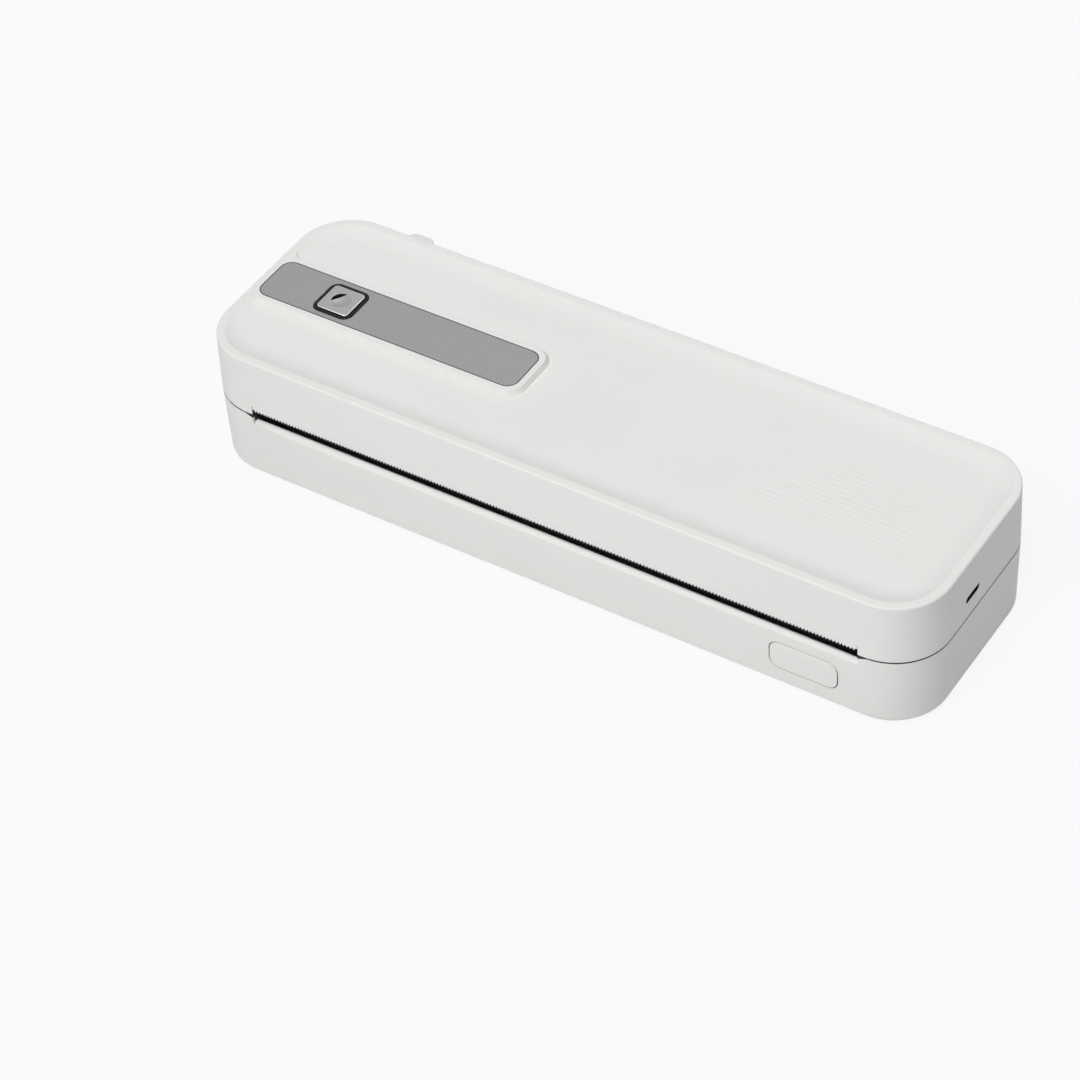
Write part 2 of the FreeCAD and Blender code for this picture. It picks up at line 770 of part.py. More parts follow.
def make_tear_bar():
    """Toothed strip along the cover's front edge, with a flange behind the wall."""
    strip_top = slot_top - seat_gap
    strip_low = strip_top - tear_strip
    half = slot_half - plate_gap
    count = int(2 * half / tear_pitch)
    start = -count * tear_pitch / 2
    face = front + top_draft / 4
    points = [Vector(half, face, strip_low), Vector(half, face, strip_top), Vector(-half, face, strip_top),
              Vector(-half, face, strip_low)]
    for index in range(count):
        left = start + index * tear_pitch
        points.append(Vector(left, face, strip_low))
        points.append(Vector(left + tear_pitch / 2, face, strip_low - tear_tooth))
    points.append(Vector(start + count * tear_pitch, face, strip_low))
    bar = prism(points, Vector(0, tear_thick, 0))
    back = front + wall + top_draft
    flange = box(-half, half, back, back + tear_flange, strip_low, strip_top + tear_flange_height)
    return join(bar, box(-half, half, face, back + tear_flange, strip_low, strip_top), flange)


def make_hinge_pins():
    """Steel pins from each pillar into the cover's knuckle."""
    pins = []
    for side in (-1, 1):
        knuckle_in = pillar_in - slide_gap - knuckle_width
        low, high = sorted((side * knuckle_in, side * (pillar_out - slide_gap)))
        pins.append(rod(low, high, hinge_y, hinge_z, hinge_pin_radius))
    return Part.makeCompound(pins)


def make_paper_bay():
    """Trough for a paper roll, with a deck towards the roller, end cheeks and screw posts."""
    half = half_paper + roller_overhang
    trough = rod(-half, half, bay_y, bay_centre_z, bay_outer)
    deck = box(-half, half, deck_front, bay_y - bay_radius, bay_top - bay_wall, bay_top)
    trough = trough.cut(box(-half, half, bay_y - bay_outer, bay_y + bay_outer, bay_top, 3 * bay_top))
    trough = join(trough, deck)
    trough = trough.cut(rod(-half, half, bay_y, bay_centre_z, bay_radius))
    pieces = []
    post_low = foot_stand + bay_boss
    for side in (-1, 1):
        low, high = sorted((side * half, side * (half + bay_wall)))
        cheek = rod(low, high, bay_y, bay_centre_z, bay_outer)
        pieces.append(cheek.common(box(low, high, bay_y - bay_outer, bay_y + bay_outer, 0, bay_top)))
    for x, y in bay_posts:
        pieces.append(post(x, y, post_low, bay_post_top, bay_post_radius))
    bay = join(trough, *pieces)
    for x, y in bay_posts:
        bay = bay.cut(pilot(x, y, 0, post_low + screw_length))
    return bay


def make_roller_cheeks():
    """Upright plates that hold the roller's bearings and the latch bar."""
    plates = []
    for side in (-1, 1):
        low, high = sorted((side * cheek_in, side * cheek_out))
        plate = box(low, high, latch_y - cheek_front, platen_y + cheek_rear, base_floor,
                    platen_z + cheek_top)
        plate = plate.cut(rod(low, high, platen_y, platen_z, bearing_radius))
        plates.append(plate.cut(rod(low, high, latch_y, latch_z, latch_shaft_radius + running_gap)))
    return Part.makeCompound(plates)


def make_platen_bearings():
    """Bushes for the roller's shaft."""
    bushes = []
    for side in (-1, 1):
        low, high = sorted((side * cheek_in, side * cheek_out))
        bush = rod(low, high, platen_y, platen_z, bearing_radius)
        bushes.append(bush.cut(rod(low, high, platen_y, platen_z, shaft_radius + running_gap)))
    return Part.makeCompound(bushes)


def make_platen_roller():
    """Rubber sleeve a little longer than the sheet is wide."""
    half = half_paper + roller_overhang
    sleeve = rod(-half, half, platen_y, platen_z, platen_radius)
    return sleeve.cut(rod(-half, half, platen_y, platen_z, shaft_radius))


def make_latch_bar():
    """Cross shaft with a paddle behind the release button and a hook at each end."""
    pieces = [rod(-hook_out, hook_out, latch_y, latch_z, latch_shaft_radius)]
    paddle_left = release_mid - paddle_width / 2
    paddle_right = release_mid + paddle_width / 2
    pieces.append(rod(paddle_left, paddle_right, latch_y, latch_z, latch_hub_radius))
    paddle_face = latch_y - paddle_lead
    paddle_top = latch_z + release_arm + nub_tall / 2
    pieces.append(prism([Vector(paddle_left, latch_y, latch_z - latch_shaft_radius),
                         Vector(paddle_left, paddle_face, paddle_top - 2 * nub_tall),
                         Vector(paddle_left, paddle_face, paddle_top),
                         Vector(paddle_left, paddle_face + paddle_thick, paddle_top),
                         Vector(paddle_left, latch_y, latch_z + latch_shaft_radius)],
                        Vector(paddle_width, 0, 0)))
    for side in (-1, 1):
        low = min(side * hook_in, side * hook_out)
        arm_front, arm_rear = latch_y - hook_depth / 2, latch_y + hook_depth / 2
        nose_low = hook_top - hook_nose_thick
        pieces.append(rod(low, low + hook_thick, latch_y, latch_z, latch_hub_radius))
        pieces.append(prism([Vector(low, arm_front, latch_z), Vector(low, arm_front, nose_low),
                             Vector(low, arm_front - hook_nose, nose_low),
                             Vector(low, arm_front - hook_nose, nose_low + hook_lean),
                             Vector(low, arm_front, hook_top), Vector(low, arm_rear, hook_top),
                             Vector(low, arm_rear, latch_z)], Vector(hook_thick, 0, 0)))
    return join(pieces[0], *pieces[1:])


def make_release_button():
    """Front push button with a keeper flange inside the wall and a nub that meets the paddle."""
    draw = foot_draft * (split_height - release_bottom - release_tall / 2) / (split_height - foot_stand)
    face = front + draw - release_proud
    flange_front = front + lip_wall + slide_gap + draw
    flange_rear = flange_front + release_flange_thick

    def plate(grow, y0, y1):
        shape = Part.Face(outline(release_left - grow, release_right + grow, release_bottom - grow,
                                  release_bottom + release_tall + grow, release_bend + grow, 0))
        shape.rotate(Vector(0, 0, 0), Vector(1, 0, 0), 90)
        shape.translate(Vector(0, y0, 0))
        return shape.extrude(Vector(0, y1 - y0, 0))

    paddle_face = latch_y - paddle_lead
    nub_mid = latch_z + release_arm
    nub = box(release_mid - nub_width / 2, release_mid + nub_width / 2, flange_front,
              paddle_face - slide_gap, nub_mid - nub_tall / 2, nub_mid + nub_tall / 2)
    return join(plate(0, face, flange_rear), plate(release_flange, flange_front, flange_rear), nub)


def make_latch_spring():
    """Return spring wound round the latch bar."""
    radius = latch_shaft_radius + latch_spring_gap + latch_spring_wire / 2
    spring_x = half_paper - latch_spring_inset
    return coil(spring_x, latch_y, latch_z, (1, 0, 0), radius, latch_spring_pitch, latch_spring_turns,
                latch_spring_wire)


def make_paper_guide():
    """Edge guide that straddles the base's rear wall and reaches out behind it."""
    left, right = guide_inner - guide_width, guide_inner
    wall_in, wall_out = rear - wall - slide_gap, rear + slide_gap
    saddle_low = base_rim + slide_gap
    inner = box(left, right, wall_in - guide_skirt, wall_in, saddle_low - guide_inner_drop, guide_top)
    bridge = box(left, right, wall_in - guide_skirt, wall_out + guide_skirt, saddle_low, guide_top)
    outer = box(left, right, wall_out, wall_out + guide_skirt, saddle_low - guide_skirt_drop, guide_top)
    tongue_start = wall_out + guide_flare_gap
    tongue = slab(left - guide_flare, right, tongue_start, guide_tip, guide_corner,
                  guide_top - guide_thick, guide_top)
    return join(bridge, inner, outer, tongue)


def make_rubber_feet():
    """Round pads under the base."""
    feet = []
    foot_x, foot_y = half_length - foot_end_inset, half_depth - foot_side_inset
    for sx in (-1, 1):
        for sy in (-1, 1):
            feet.append(post(sx * foot_x, sy * foot_y, 0, foot_stand, foot_radius))
    return Part.makeCompound(feet)


def make_cover_liner():
    """Plate that closes the cover's underside over the paper path, with ribs along the feed."""
    liner = box(-liner_half, liner_half, liner_front, liner_rear, liner_height, liner_top)
    ribs = []
    for index in range(liner_rib_count):
        share = (index + 1) / (liner_rib_count + 1)
        x = -liner_half + 2 * liner_half * share
        ribs.append(box(x - liner_rib / 2, x + liner_rib / 2, liner_front, liner_rear,
                        liner_height - liner_rib_height, liner_height))
    liner = join(liner, *ribs)
    for x, y in liner_bosses:
        liner = liner.cut(pilot(x, y, 0, liner_top + overrun))
    return liner


def make_head_bracket():
    """Steel channel over the print head, with ears for its pivots."""
    y0, y1 = platen_y - bracket_front, platen_y + bracket_rear
    bracket = box(-bracket_half - bracket_thick, bracket_half + bracket_thick, y0, y1, bracket_under,
                  bracket_top)
    ears = []
    pivot_y, pivot_z = platen_y + head_pivot_back, heatsink_under + head_pivot_rise
    for side in (-1, 1):
        low, high = sorted((side * bracket_half, side * (bracket_half + bracket_thick)))
        ear = box(low, high, y0, y1 + bracket_thick, heatsink_under, bracket_top)
        ears.append(ear.cut(rod(low, high, pivot_y, pivot_z, head_pivot_radius)))
    bracket = join(bracket, *ears)
    for x, y in bracket_bosses:
        bracket = bracket.cut(pilot(x, y, bracket_under - overrun, bracket_top + overrun))
    return bracket


def make_head_pivots():
    """Pins on which the print head rocks."""
    pins = []
    for side in (-1, 1):
        low, high = sorted((side * (head_half - head_pivot_reach), side * (bracket_half + bracket_thick)))
        pins.append(rod(low, high, platen_y + head_pivot_back, heatsink_under + head_pivot_rise,
                        head_pivot_radius))
    return Part.makeCompound(pins)


def make_head_springs():
    """Springs that press the head down on the roller."""
    springs = []
    span = bracket_gap - 2 * slide_gap - spring_wire
    for index in range(spring_count):
        share = (index + 0.5) / spring_count
        x = head_half * (2 * share - 1)
        foot = heatsink_top + slide_gap + spring_wire / 2
        springs.append(coil(x, platen_y - spring_front, foot, (0, 0, 1), spring_radius, span / spring_turns,
                            spring_turns, spring_wire))
    return Part.makeCompound(springs)


def make_head_heatsink():
    """Aluminium bar that carries the heating strip."""
    bar = box(-head_half, head_half, platen_y - heatsink_front, platen_y + heatsink_rear, heatsink_under,
              heatsink_top)
    for side in (-1, 1):
        low, high = sorted((side * (head_half - head_pivot_reach), side * head_half))
        bar = bar.cut(rod(low, high, platen_y + head_pivot_back, heatsink_under + head_pivot_rise,
                          head_pivot_radius + running_gap))
    return bar


def make_head_ceramic():
    """Heating strip glued under the bar."""
    return box(-head_half, head_half, platen_y - ceramic_front, platen_y + ceramic_rear, ceramic_under,
               heatsink_under)


def make_head_ribbon():
    """Flat cable from the head up to the main board's plug."""
    mid = (board_left + board_right) / 2
    x0, x1 = mid - plug_width / 2 + seat_gap, mid + plug_width / 2 - seat_gap
    y0 = platen_y + heatsink_rear + slide_gap
    z1 = board_top + plug_height / 2 + ribbon_thick / 2
    riser = box(x0, x1, y0, y0 + ribbon_thick, heatsink_under, z1)
    return join(riser, box(x0, x1, y0, board_near, z1 - ribbon_thick, z1))


def make_main_board():
    """Control board beside the battery, screwed up to the cover."""
    board = box(board_left, board_right, board_near, board_far, board_height, board_top)
    for x, y in board_bosses:
        board = board.cut(pilot(x, y, board_height - overrun, board_top + overrun))
    return board


def make_board_parts():
    """Plug for the head ribbon and the larger chips on the main board."""
    mid = (board_left + board_right) / 2
    parts = [box(mid - plug_width / 2, mid + plug_width / 2, board_near, board_near + plug_depth,
                 board_top, board_top + plug_height)]
    half = chip_size / 2
    for index in range(chip_count):
        share = (index + 0.5) / chip_count
        x = chip_left + (board_right - chip_left) * share
        parts.append(box(x - half, x + half, chip_y - half, chip_y + half, board_top,
                         board_top + chip_height))
    return Part.makeCompound(parts)


def make_tact_switch():
    """Switch under the power key's stem, with its plunger at rest below the key's full travel."""
    half = switch_size / 2
    stem_foot = skin_under - slide_gap - key_flange_thick - key_stem
    plunger_top = stem_foot - key_travel - seat_gap
    body = box(key_x - half, key_x + half, -half, half, board_top, plunger_top - switch_plunger)
    plunger = post(key_x, 0, board_top, plunger_top, key_stem_radius)
    return join(body, plunger)


def make_battery_cells():
    """Two flat lithium cells on the liner."""
    cells = []
    for index in range(2):
        x0 = cells_left + index * (cell_length + cell_gap)
        cells.append(slab(x0, x0 + cell_length, cell_front, liner_rear, cell_corner, liner_top,
                          skin_under - cell_roof_gap))
    return Part.makeCompound(cells)


def make_usb_board():
    """Charging board in the right end, hung from the cover."""
    half = usb_board_width / 2
    board = box(usb_board_left, usb_end, usb_y - half, usb_y + half, usb_board_top - board_thick,
                usb_board_top)
    for x, y in usb_bosses:
        board = board.cut(pilot(x, y, 0, usb_board_top + overrun))
    return board


def make_usb_socket():
    """USB-C socket: a drawn steel shell with its contact tongue."""
    def stadium(grow, length):
        shape = slab(-usb_thick / 2 - grow, usb_thick / 2 + grow, -usb_width / 2 - grow,
                     usb_width / 2 + grow, usb_thick / 2 + grow - running_gap, 0, length)
        shape.rotate(Vector(0, 0, 0), Vector(0, 1, 0), 90)
        return shape

    mouth = half_length - usb_set_back - top_draft
    shell = stadium(0, usb_depth)
    hollow = stadium(-usb_shell, usb_depth)
    hollow.translate(Vector(usb_shell, 0, 0))
    shell = shell.cut(hollow)
    tongue = box(0, usb_shell + usb_tongue_depth, -usb_tongue_width / 2, usb_tongue_width / 2,
                 -usb_tongue / 2, usb_tongue / 2)
    socket = join(shell, tongue)
    socket.translate(Vector(mouth - usb_depth, usb_y, usb_height))
    return socket


def make_power_ribbon():
    """Flat cable along the liner from the charging board to the main board."""
    y1 = cell_front - ribbon_cell_gap
    y0 = y1 - power_ribbon_width
    bend = liner_half + ribbon_bend_gap
    low, high = sorted((usb_board_top, liner_top))
    flat = box(board_right - board_boss_inset, bend, y0, y1, liner_top, liner_top + ribbon_thick)
    drop = box(bend, bend + ribbon_thick, y0, y1, low, high + ribbon_thick)
    tail = box(bend, usb_board_left + board_boss_inset, y0, y1, usb_board_top,
               usb_board_top + ribbon_thick)
    return join(flat, drop, tail)


def make_drive_motor():
    """Flat stepping motor on the motor plate."""
    middle = motor_left + motor_length / 2
    can = rod(motor_left, motor_left + motor_length, motor_y, motor_z, motor_radius)
    collar = rod(motor_left - motor_collar, motor_left, motor_y, motor_z, motor_collar_radius)
    bore = rod(motor_left - motor_collar, middle, motor_y, motor_z, pinion_shaft_radius + running_gap)
    return join(can, collar).cut(bore)


def make_motor_plate():
    """Steel plate that carries the motor and the idler stud, flanged up to the cover's skin."""
    left = gear_right + motor_plate_gap
    right = left + motor_plate_thick
    low = idler_z - plate_margin
    plate = box(left, right, idler_y - plate_margin, motor_y + motor_radius, low, skin_under)
    flange = box(left, left + motor_flange, idler_y - plate_margin, motor_y - motor_radius + plate_margin,
                 skin_under - motor_plate_thick, skin_under)
    plate = join(plate, flange)
    plate = plate.cut(rod(left, right, motor_y, motor_z, motor_collar_radius))
    return plate.cut(rod(left, right, idler_y, idler_z, stud_radius))


def make_idler_stud():
    """Fixed stud on which the idler turns."""
    return rod(gear_left, motor_left, idler_y, idler_z, stud_radius)


def make_motor_pinion():
    """Pinion on the motor's shaft."""
    tail = motor_left + motor_length / 2 - overrun
    wheel = gear(pinion_teeth, gear_left, gear_width, motor_y, motor_z, pinion_phase, pinion_shaft_radius)
    return join(wheel, rod(gear_left, tail, motor_y, motor_z, pinion_shaft_radius))


def make_paper_sensor():
    """Reflective sensor under the liner, between two ribs."""
    x = liner_half / (liner_rib_count + 1)
    y = liner_front + sensor_width
    body = box(x - sensor_length / 2, x + sensor_length / 2, y - sensor_width / 2, y + sensor_width / 2,
               liner_height - sensor_thick, liner_height)
    for side in (-1, 1):
        eye = post(x + side * sensor_length / 4, y, 0, liner_height - sensor_thick / 2, sensor_window / 2)
        body = body.cut(eye)
    return body


def screws(places, z_seat):
    """A group of screws driven upwards."""
    return Part.makeCompound([screw(x, y, z_seat, True) for x, y in places])


os.makedirs("parts", exist_ok=True)
shaft_left = gear_left - seat_gap
nodes = {
    "base_shell": make_base_shell(),
    "paper_bay": make_paper_bay(),
    "bay_screws": screws(bay_posts, foot_stand + counterbore),
    "roller_cheeks": make_roller_cheeks(),
    "platen_bearings": make_platen_bearings(),
    "hinge_pins": make_hinge_pins(),
    "rubber_feet": make_rubber_feet(),
    "latch_spring": make_latch_spring(),
    "latch_bar": make_latch_bar(),
    "release_button": make_release_button(),
    "platen_roller": make_platen_roller(),
    "platen_shaft": rod(shaft_left, cheek_out + shaft_stub, platen_y, platen_z, shaft_radius),
    "platen_gear": gear(platen_teeth, gear_left, gear_width, platen_y, platen_z, platen_phase,
                        shaft_radius),
    "paper_guide": make_paper_guide(),
    "top_cover": make_top_cover(),
    "control_plate": make_control_plate(),
    "button_bezel": make_button_bezel(),
    "power_button": make_power_button(),
    "tear_bar": make_tear_bar(),
    "cover_liner": make_cover_liner(),
    "liner_screws": screws(liner_bosses, liner_height),
    "head_bracket": make_head_bracket(),
    "head_pivots": make_head_pivots(),
    "head_springs": make_head_springs(),
    "bracket_screws": screws(bracket_bosses, bracket_under),
    "head_heatsink": make_head_heatsink(),
    "head_ceramic": make_head_ceramic(),
    "head_ribbon": make_head_ribbon(),
    "main_board": make_main_board(),
    "board_parts": make_board_parts(),
    "board_screws": screws(board_bosses, board_height),
    "tact_switch": make_tact_switch(),
    "battery_cells": make_battery_cells(),
    "usb_board": make_usb_board(),
    "usb_screws": screws(usb_bosses, usb_board_top - board_thick),
    "usb_socket": make_usb_socket(),
    "power_ribbon": make_power_ribbon(),
    "drive_motor": make_drive_motor(),
    "motor_plate": make_motor_plate(),
    "idler_stud": make_idler_stud(),
    "idler_gear": gear(idler_teeth, gear_left, gear_width, idler_y, idler_z, idler_phase,
                       stud_radius + running_gap),
    "motor_pinion": make_motor_pinion(),
    "paper_sensor": make_paper_sensor(),
}
for name, shape in nodes.items():
    shape.translate(Vector(0, -frame_shift, 0))
    shape.exportStep("parts/" + name + ".step")
    print(name, len(shape.Solids), shape.isValid(), round(shape.Volume, 2))
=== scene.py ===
import json
import math

import bmesh
import bpy
from mathutils import Matrix, Vector

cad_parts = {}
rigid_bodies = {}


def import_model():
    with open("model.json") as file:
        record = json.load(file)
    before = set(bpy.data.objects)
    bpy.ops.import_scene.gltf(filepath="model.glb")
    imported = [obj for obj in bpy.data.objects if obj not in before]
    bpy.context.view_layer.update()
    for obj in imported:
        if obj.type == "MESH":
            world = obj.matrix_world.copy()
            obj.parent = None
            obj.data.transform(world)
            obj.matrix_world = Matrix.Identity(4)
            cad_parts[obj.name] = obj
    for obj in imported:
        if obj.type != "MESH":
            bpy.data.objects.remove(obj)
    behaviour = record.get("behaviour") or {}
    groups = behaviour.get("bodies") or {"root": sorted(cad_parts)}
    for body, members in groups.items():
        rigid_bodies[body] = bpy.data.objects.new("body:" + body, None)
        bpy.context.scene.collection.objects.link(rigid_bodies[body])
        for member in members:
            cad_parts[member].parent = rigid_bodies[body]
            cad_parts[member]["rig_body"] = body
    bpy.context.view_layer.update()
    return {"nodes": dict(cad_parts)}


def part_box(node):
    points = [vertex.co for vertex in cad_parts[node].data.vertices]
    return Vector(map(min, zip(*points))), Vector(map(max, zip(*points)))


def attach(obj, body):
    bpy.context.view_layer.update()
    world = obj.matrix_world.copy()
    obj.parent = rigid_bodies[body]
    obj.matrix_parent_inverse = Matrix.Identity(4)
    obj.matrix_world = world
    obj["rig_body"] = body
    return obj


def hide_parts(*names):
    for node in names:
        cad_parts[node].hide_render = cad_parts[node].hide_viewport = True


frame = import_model()

# Lengths are in mm, as in the part's source, and turned to metres where they are used
MM = 0.001
BODY_MID_Y = -10.5
BODY_SHIFT = Vector((0, BODY_MID_Y, 0))
HALF_LENGTH = 136.0
HALF_DEPTH = 41.0
CORNER = 19.5
TOP_Z = 50.5
DISH_Z = 48.9
RIM_WIDTH = 3.0

# How near an edge or a point has to be to the place where it is looked for
NEAR = 0.01

# How closely an edge or a face follows an axis, what counts as one point or one face, and bends in degrees
STRAIGHT = 0.9
FLAT = 0.999
MERGE = 0.002
LEVEL_WITHIN = math.radians(0.2)
SMOOTH_BELOW = math.radians(32.0)
SHARP_BEND = 35.0
SLIGHT_BEND = 15.0

# Colour sockets of the Mix node
MIX_FIRST = 6
MIX_SECOND = 7
MIX_RESULT = 2


def linear(hex_colour):
    """sRGB hex colour as linear RGBA."""
    parts = [int(hex_colour[i:i + 2], 16) / 255 for i in (1, 3, 5)]
    return [c / 12.92 if c <= 0.04045 else ((c + 0.055) / 1.055) ** 2.4 for c in parts] + [1.0]


def add_node(tree, kind, settings, links=()):
    """Add a node with its settings, and link its inputs to (node, output) pairs."""
    node = tree.nodes.new(kind)
    for key, value in settings.items():
        if isinstance(key, int) or key in node.inputs:
            node.inputs[key].default_value = value
        else:
            setattr(node, key, value)
    for key, (source, output) in dict(links).items():
        tree.links.new(source.outputs[output], node.inputs[key])
    return node


# Hand tools for the pieces


def deselect_all():
    """Leave edit mode and let go of everything."""
    if bpy.context.mode != "OBJECT":
        bpy.ops.object.mode_set(mode="OBJECT")
    bpy.ops.object.select_all(action="DESELECT")


def pick(piece):
    """Take one piece alone, in object mode."""
    deselect_all()
    piece.select_set(True)
    bpy.context.view_layer.objects.active = piece


def open_mesh(piece):
    """Take one piece alone into edit mode."""
    pick(piece)
    bpy.ops.object.mode_set(mode="EDIT")


def choose(kind, test):
    """Select faces, edges or points by a test of the item and its middle in mm, in the body's frame."""
    bpy.ops.mesh.select_mode(type=kind)
    bpy.ops.mesh.select_all(action="DESELECT")
    mesh = bmesh.from_edit_mesh(bpy.context.object.data)
    for item in {"FACE": mesh.faces, "EDGE": mesh.edges, "VERT": mesh.verts}[kind]:
        points = [item] if kind == "VERT" else item.verts
        middle = sum((v.co for v in points), Vector()) / len(points) / MM
        middle.y -= BODY_MID_Y
        if test(item, middle):
            item.select_set(True)
    bmesh.update_edit_mesh(bpy.context.object.data)


def sharp(edge, degrees=SHARP_BEND):
    """True where two faces meet at more than an angle."""
    return len(edge.link_faces) == 2 and edge.calc_face_angle() > math.radians(degrees)


def sharp_edge(edge, middle):
    """Test for sharp edges anywhere."""
    return sharp(edge)


def along(axis):
    """Test for edges that run along an axis, or faces that look along it."""
    index = "XYZ".index(axis)

    def test(item, middle):
        is_edge = isinstance(item, bmesh.types.BMEdge)
        way = (item.verts[0].co - item.verts[1].co).normalized() if is_edge else item.normal
        return abs(way[index]) > STRAIGHT
    return test


def looks_down(face, middle):
    """Test for faces that look down."""
    return face.normal.z < -STRAIGHT


def wall_depth(point):
    """How deep a point lies inside the body's rounded outline, in mm."""
    across = abs(point.x) - (HALF_LENGTH - CORNER)
    along_y = abs(point.y) - (HALF_DEPTH - CORNER)
    return CORNER - math.hypot(max(across, 0), max(along_y, 0)) - min(max(across, along_y), 0)


def round_over(width, steps):
    """Bevel the selected edges."""
    bpy.ops.mesh.bevel(offset=width * MM, segments=steps, affect="EDGES")


def close_mesh(piece, flat=None):
    """Back to object mode, with smooth faces, creases at sharp edges and faces weighted by area."""
    pick(piece)
    bpy.ops.object.shade_smooth_by_angle(angle=SMOOTH_BELOW)
    if flat:
        open_mesh(piece)
        choose("FACE", flat)
        bpy.ops.mesh.faces_shade_flat()
        bpy.ops.object.mode_set(mode="OBJECT")
    weight = piece.modifiers.new("weight", "WEIGHTED_NORMAL")
    weight.keep_sharp = True
    bpy.ops.object.modifier_apply(modifier=weight.name)


def cad_copy(name, node):
    """Merged copy of a CAD node's mesh, open in edit mode."""
    piece = bpy.data.objects.new(name, frame["nodes"][node].data.copy())
    bpy.context.collection.objects.link(piece)
    open_mesh(piece)
    bpy.ops.mesh.select_all(action="SELECT")
    bpy.ops.mesh.customdata_custom_splitnormals_clear()
    bpy.ops.mesh.remove_doubles(threshold=MERGE * MM)
    bpy.ops.mesh.dissolve_limited(angle_limit=LEVEL_WITHIN)
    return piece


def block(name, low, high):
    """Cube primitive between two corners in mm, in the body's frame, open in edit mode."""
    low, high = Vector(low), Vector(high)
    deselect_all()
    bpy.ops.mesh.primitive_cube_add(size=1.0, location=((low + high) / 2 + BODY_SHIFT) * MM)
    piece = bpy.context.object
    piece.name = name
    piece.scale = (high - low) * MM
    bpy.ops.object.transform_apply(location=True, rotation=True, scale=True)
    open_mesh(piece)
    return piece


def frame_ring(name, low, high, axis, corner, steps, wall):
    """Ring with rounded corners between two places in mm, open along an axis, in edit mode."""
    piece = block(name, low, high)
    choose("EDGE", along(axis))
    round_over(corner, steps)
    choose("FACE", along(axis))
    bpy.ops.mesh.inset(thickness=wall * MM)
    bpy.ops.mesh.bridge_edge_loops()
    return piece


def drum(name, middle, radius, height, sides, axis="Z"):
    """Cylinder primitive at a place in mm, in the body's frame, open in edit mode."""
    deselect_all()
    turn = {"Z": (0, 0, 0), "X": (0, math.pi / 2, 0)}[axis]
    place = (Vector(middle) + BODY_SHIFT) * MM
    bpy.ops.mesh.primitive_cylinder_add(vertices=sides, radius=radius * MM, depth=height * MM,
                                        location=place, rotation=turn)
    piece = bpy.context.object
    piece.name = name
    bpy.ops.object.transform_apply(location=True, rotation=True, scale=True)
    open_mesh(piece)
    return piece


def cut_with(piece, tool):
    """Cut a piece with a tool shape, which is then thrown away."""
    pick(piece)
    cut = piece.modifiers.new("cut", "BOOLEAN")
    cut.operation = "DIFFERENCE"
    cut.object = tool
    cut.solver = "EXACT"
    bpy.ops.object.modifier_apply(modifier=cut.name)
    bpy.data.objects.remove(tool)


def join_all(name, pieces):
    """Join pieces into one object."""
    deselect_all()
    for piece in pieces:
        piece.select_set(True)
    bpy.context.view_layer.objects.active = pieces[0]
    bpy.ops.object.join()
    pieces[0].name = name
    return pieces[0]


def dress(piece, body, finishes, node=None):
    """Give a piece its finishes and its body, and let it stand for a CAD node."""
    piece.data.materials.clear()
    for finish in finishes:
        piece.data.materials.append(finish)
    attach(piece, body)
    if node:
        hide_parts(node)


def corners(node):
    """Lowest and highest corner of a CAD node in mm, in the body's frame."""
    low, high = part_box(node)
    return low / MM - BODY_SHIFT, high / MM - BODY_SHIFT


# Finishes, with sizes in mm. One band of the Wave texture is pi / 10 wide at a scale of 1

CLOUD_MM = 40.0
PLASTIC_IOR = 1.52
FILM_IOR = 1.5
WAVE_PERIOD = math.pi / 10
TRACK_EDGE = (0.62, 0.74)
TRACK_PROUD = 0.03
PATCH_EDGE = 0.01


def start_material(name, metallic, ior=None):
    """Empty material with one shader, its output and Object coordinates."""
    material = bpy.data.materials.new(name)
    material.use_nodes = True
    tree = material.node_tree
    tree.nodes.clear()
    shader = add_node(tree, "ShaderNodeBsdfPrincipled", {"Metallic": metallic})
    if ior is not None:
        shader.inputs["IOR"].default_value = ior
    add_node(tree, "ShaderNodeOutputMaterial", {}, {"Surface": (shader, "BSDF")})
    place = add_node(tree, "ShaderNodeTexCoord", {})
    return material, tree, shader, place


def moulded(name, light, dark, grain_mm, grain_depth, rough_low, rough_high, shine=0.5):
    """Moulded plastic: a fine spark-eroded grain in the bump and roughness, and a faint drift of colour."""
    material, tree, shader, place = start_material(name, 0.0, PLASTIC_IOR)
    shader.inputs["Specular IOR Level"].default_value = shine
    cloud = add_node(tree, "ShaderNodeTexNoise", {"Scale": 1 / (CLOUD_MM * MM), "Detail": 2.0},
                     {"Vector": (place, "Object")})
    tint = add_node(tree, "ShaderNodeMix",
                    {"data_type": "RGBA", MIX_FIRST: linear(dark), MIX_SECOND: linear(light)},
                    {0: (cloud, "Fac")})
    tree.links.new(tint.outputs[MIX_RESULT], shader.inputs["Base Color"])
    grain = add_node(tree, "ShaderNodeTexNoise", {"Scale": 1 / (grain_mm * MM), "Detail": 3.0},
                     {"Vector": (place, "Object")})
    rough = add_node(tree, "ShaderNodeMapRange", {"To Min": rough_low, "To Max": rough_high},
                     {"Value": (grain, "Fac")})
    tree.links.new(rough.outputs["Result"], shader.inputs["Roughness"])
    bump = add_node(tree, "ShaderNodeBump", {"Strength": 1.0, "Distance": grain_depth * MM},
                    {"Height": (grain, "Fac")})
    tree.links.new(bump.outputs["Normal"], shader.inputs["Normal"])
    return material


# Matte ABS from a spark-eroded tool: a soft warm white with broken highlights. The real grain is about
# 0.1 mm, drawn at 0.5 mm so that it shows
shell_abs = moulded("white_abs_matte", "#EBEAE8", "#E7E6E4", 0.5, 0.012, 0.46, 0.58)

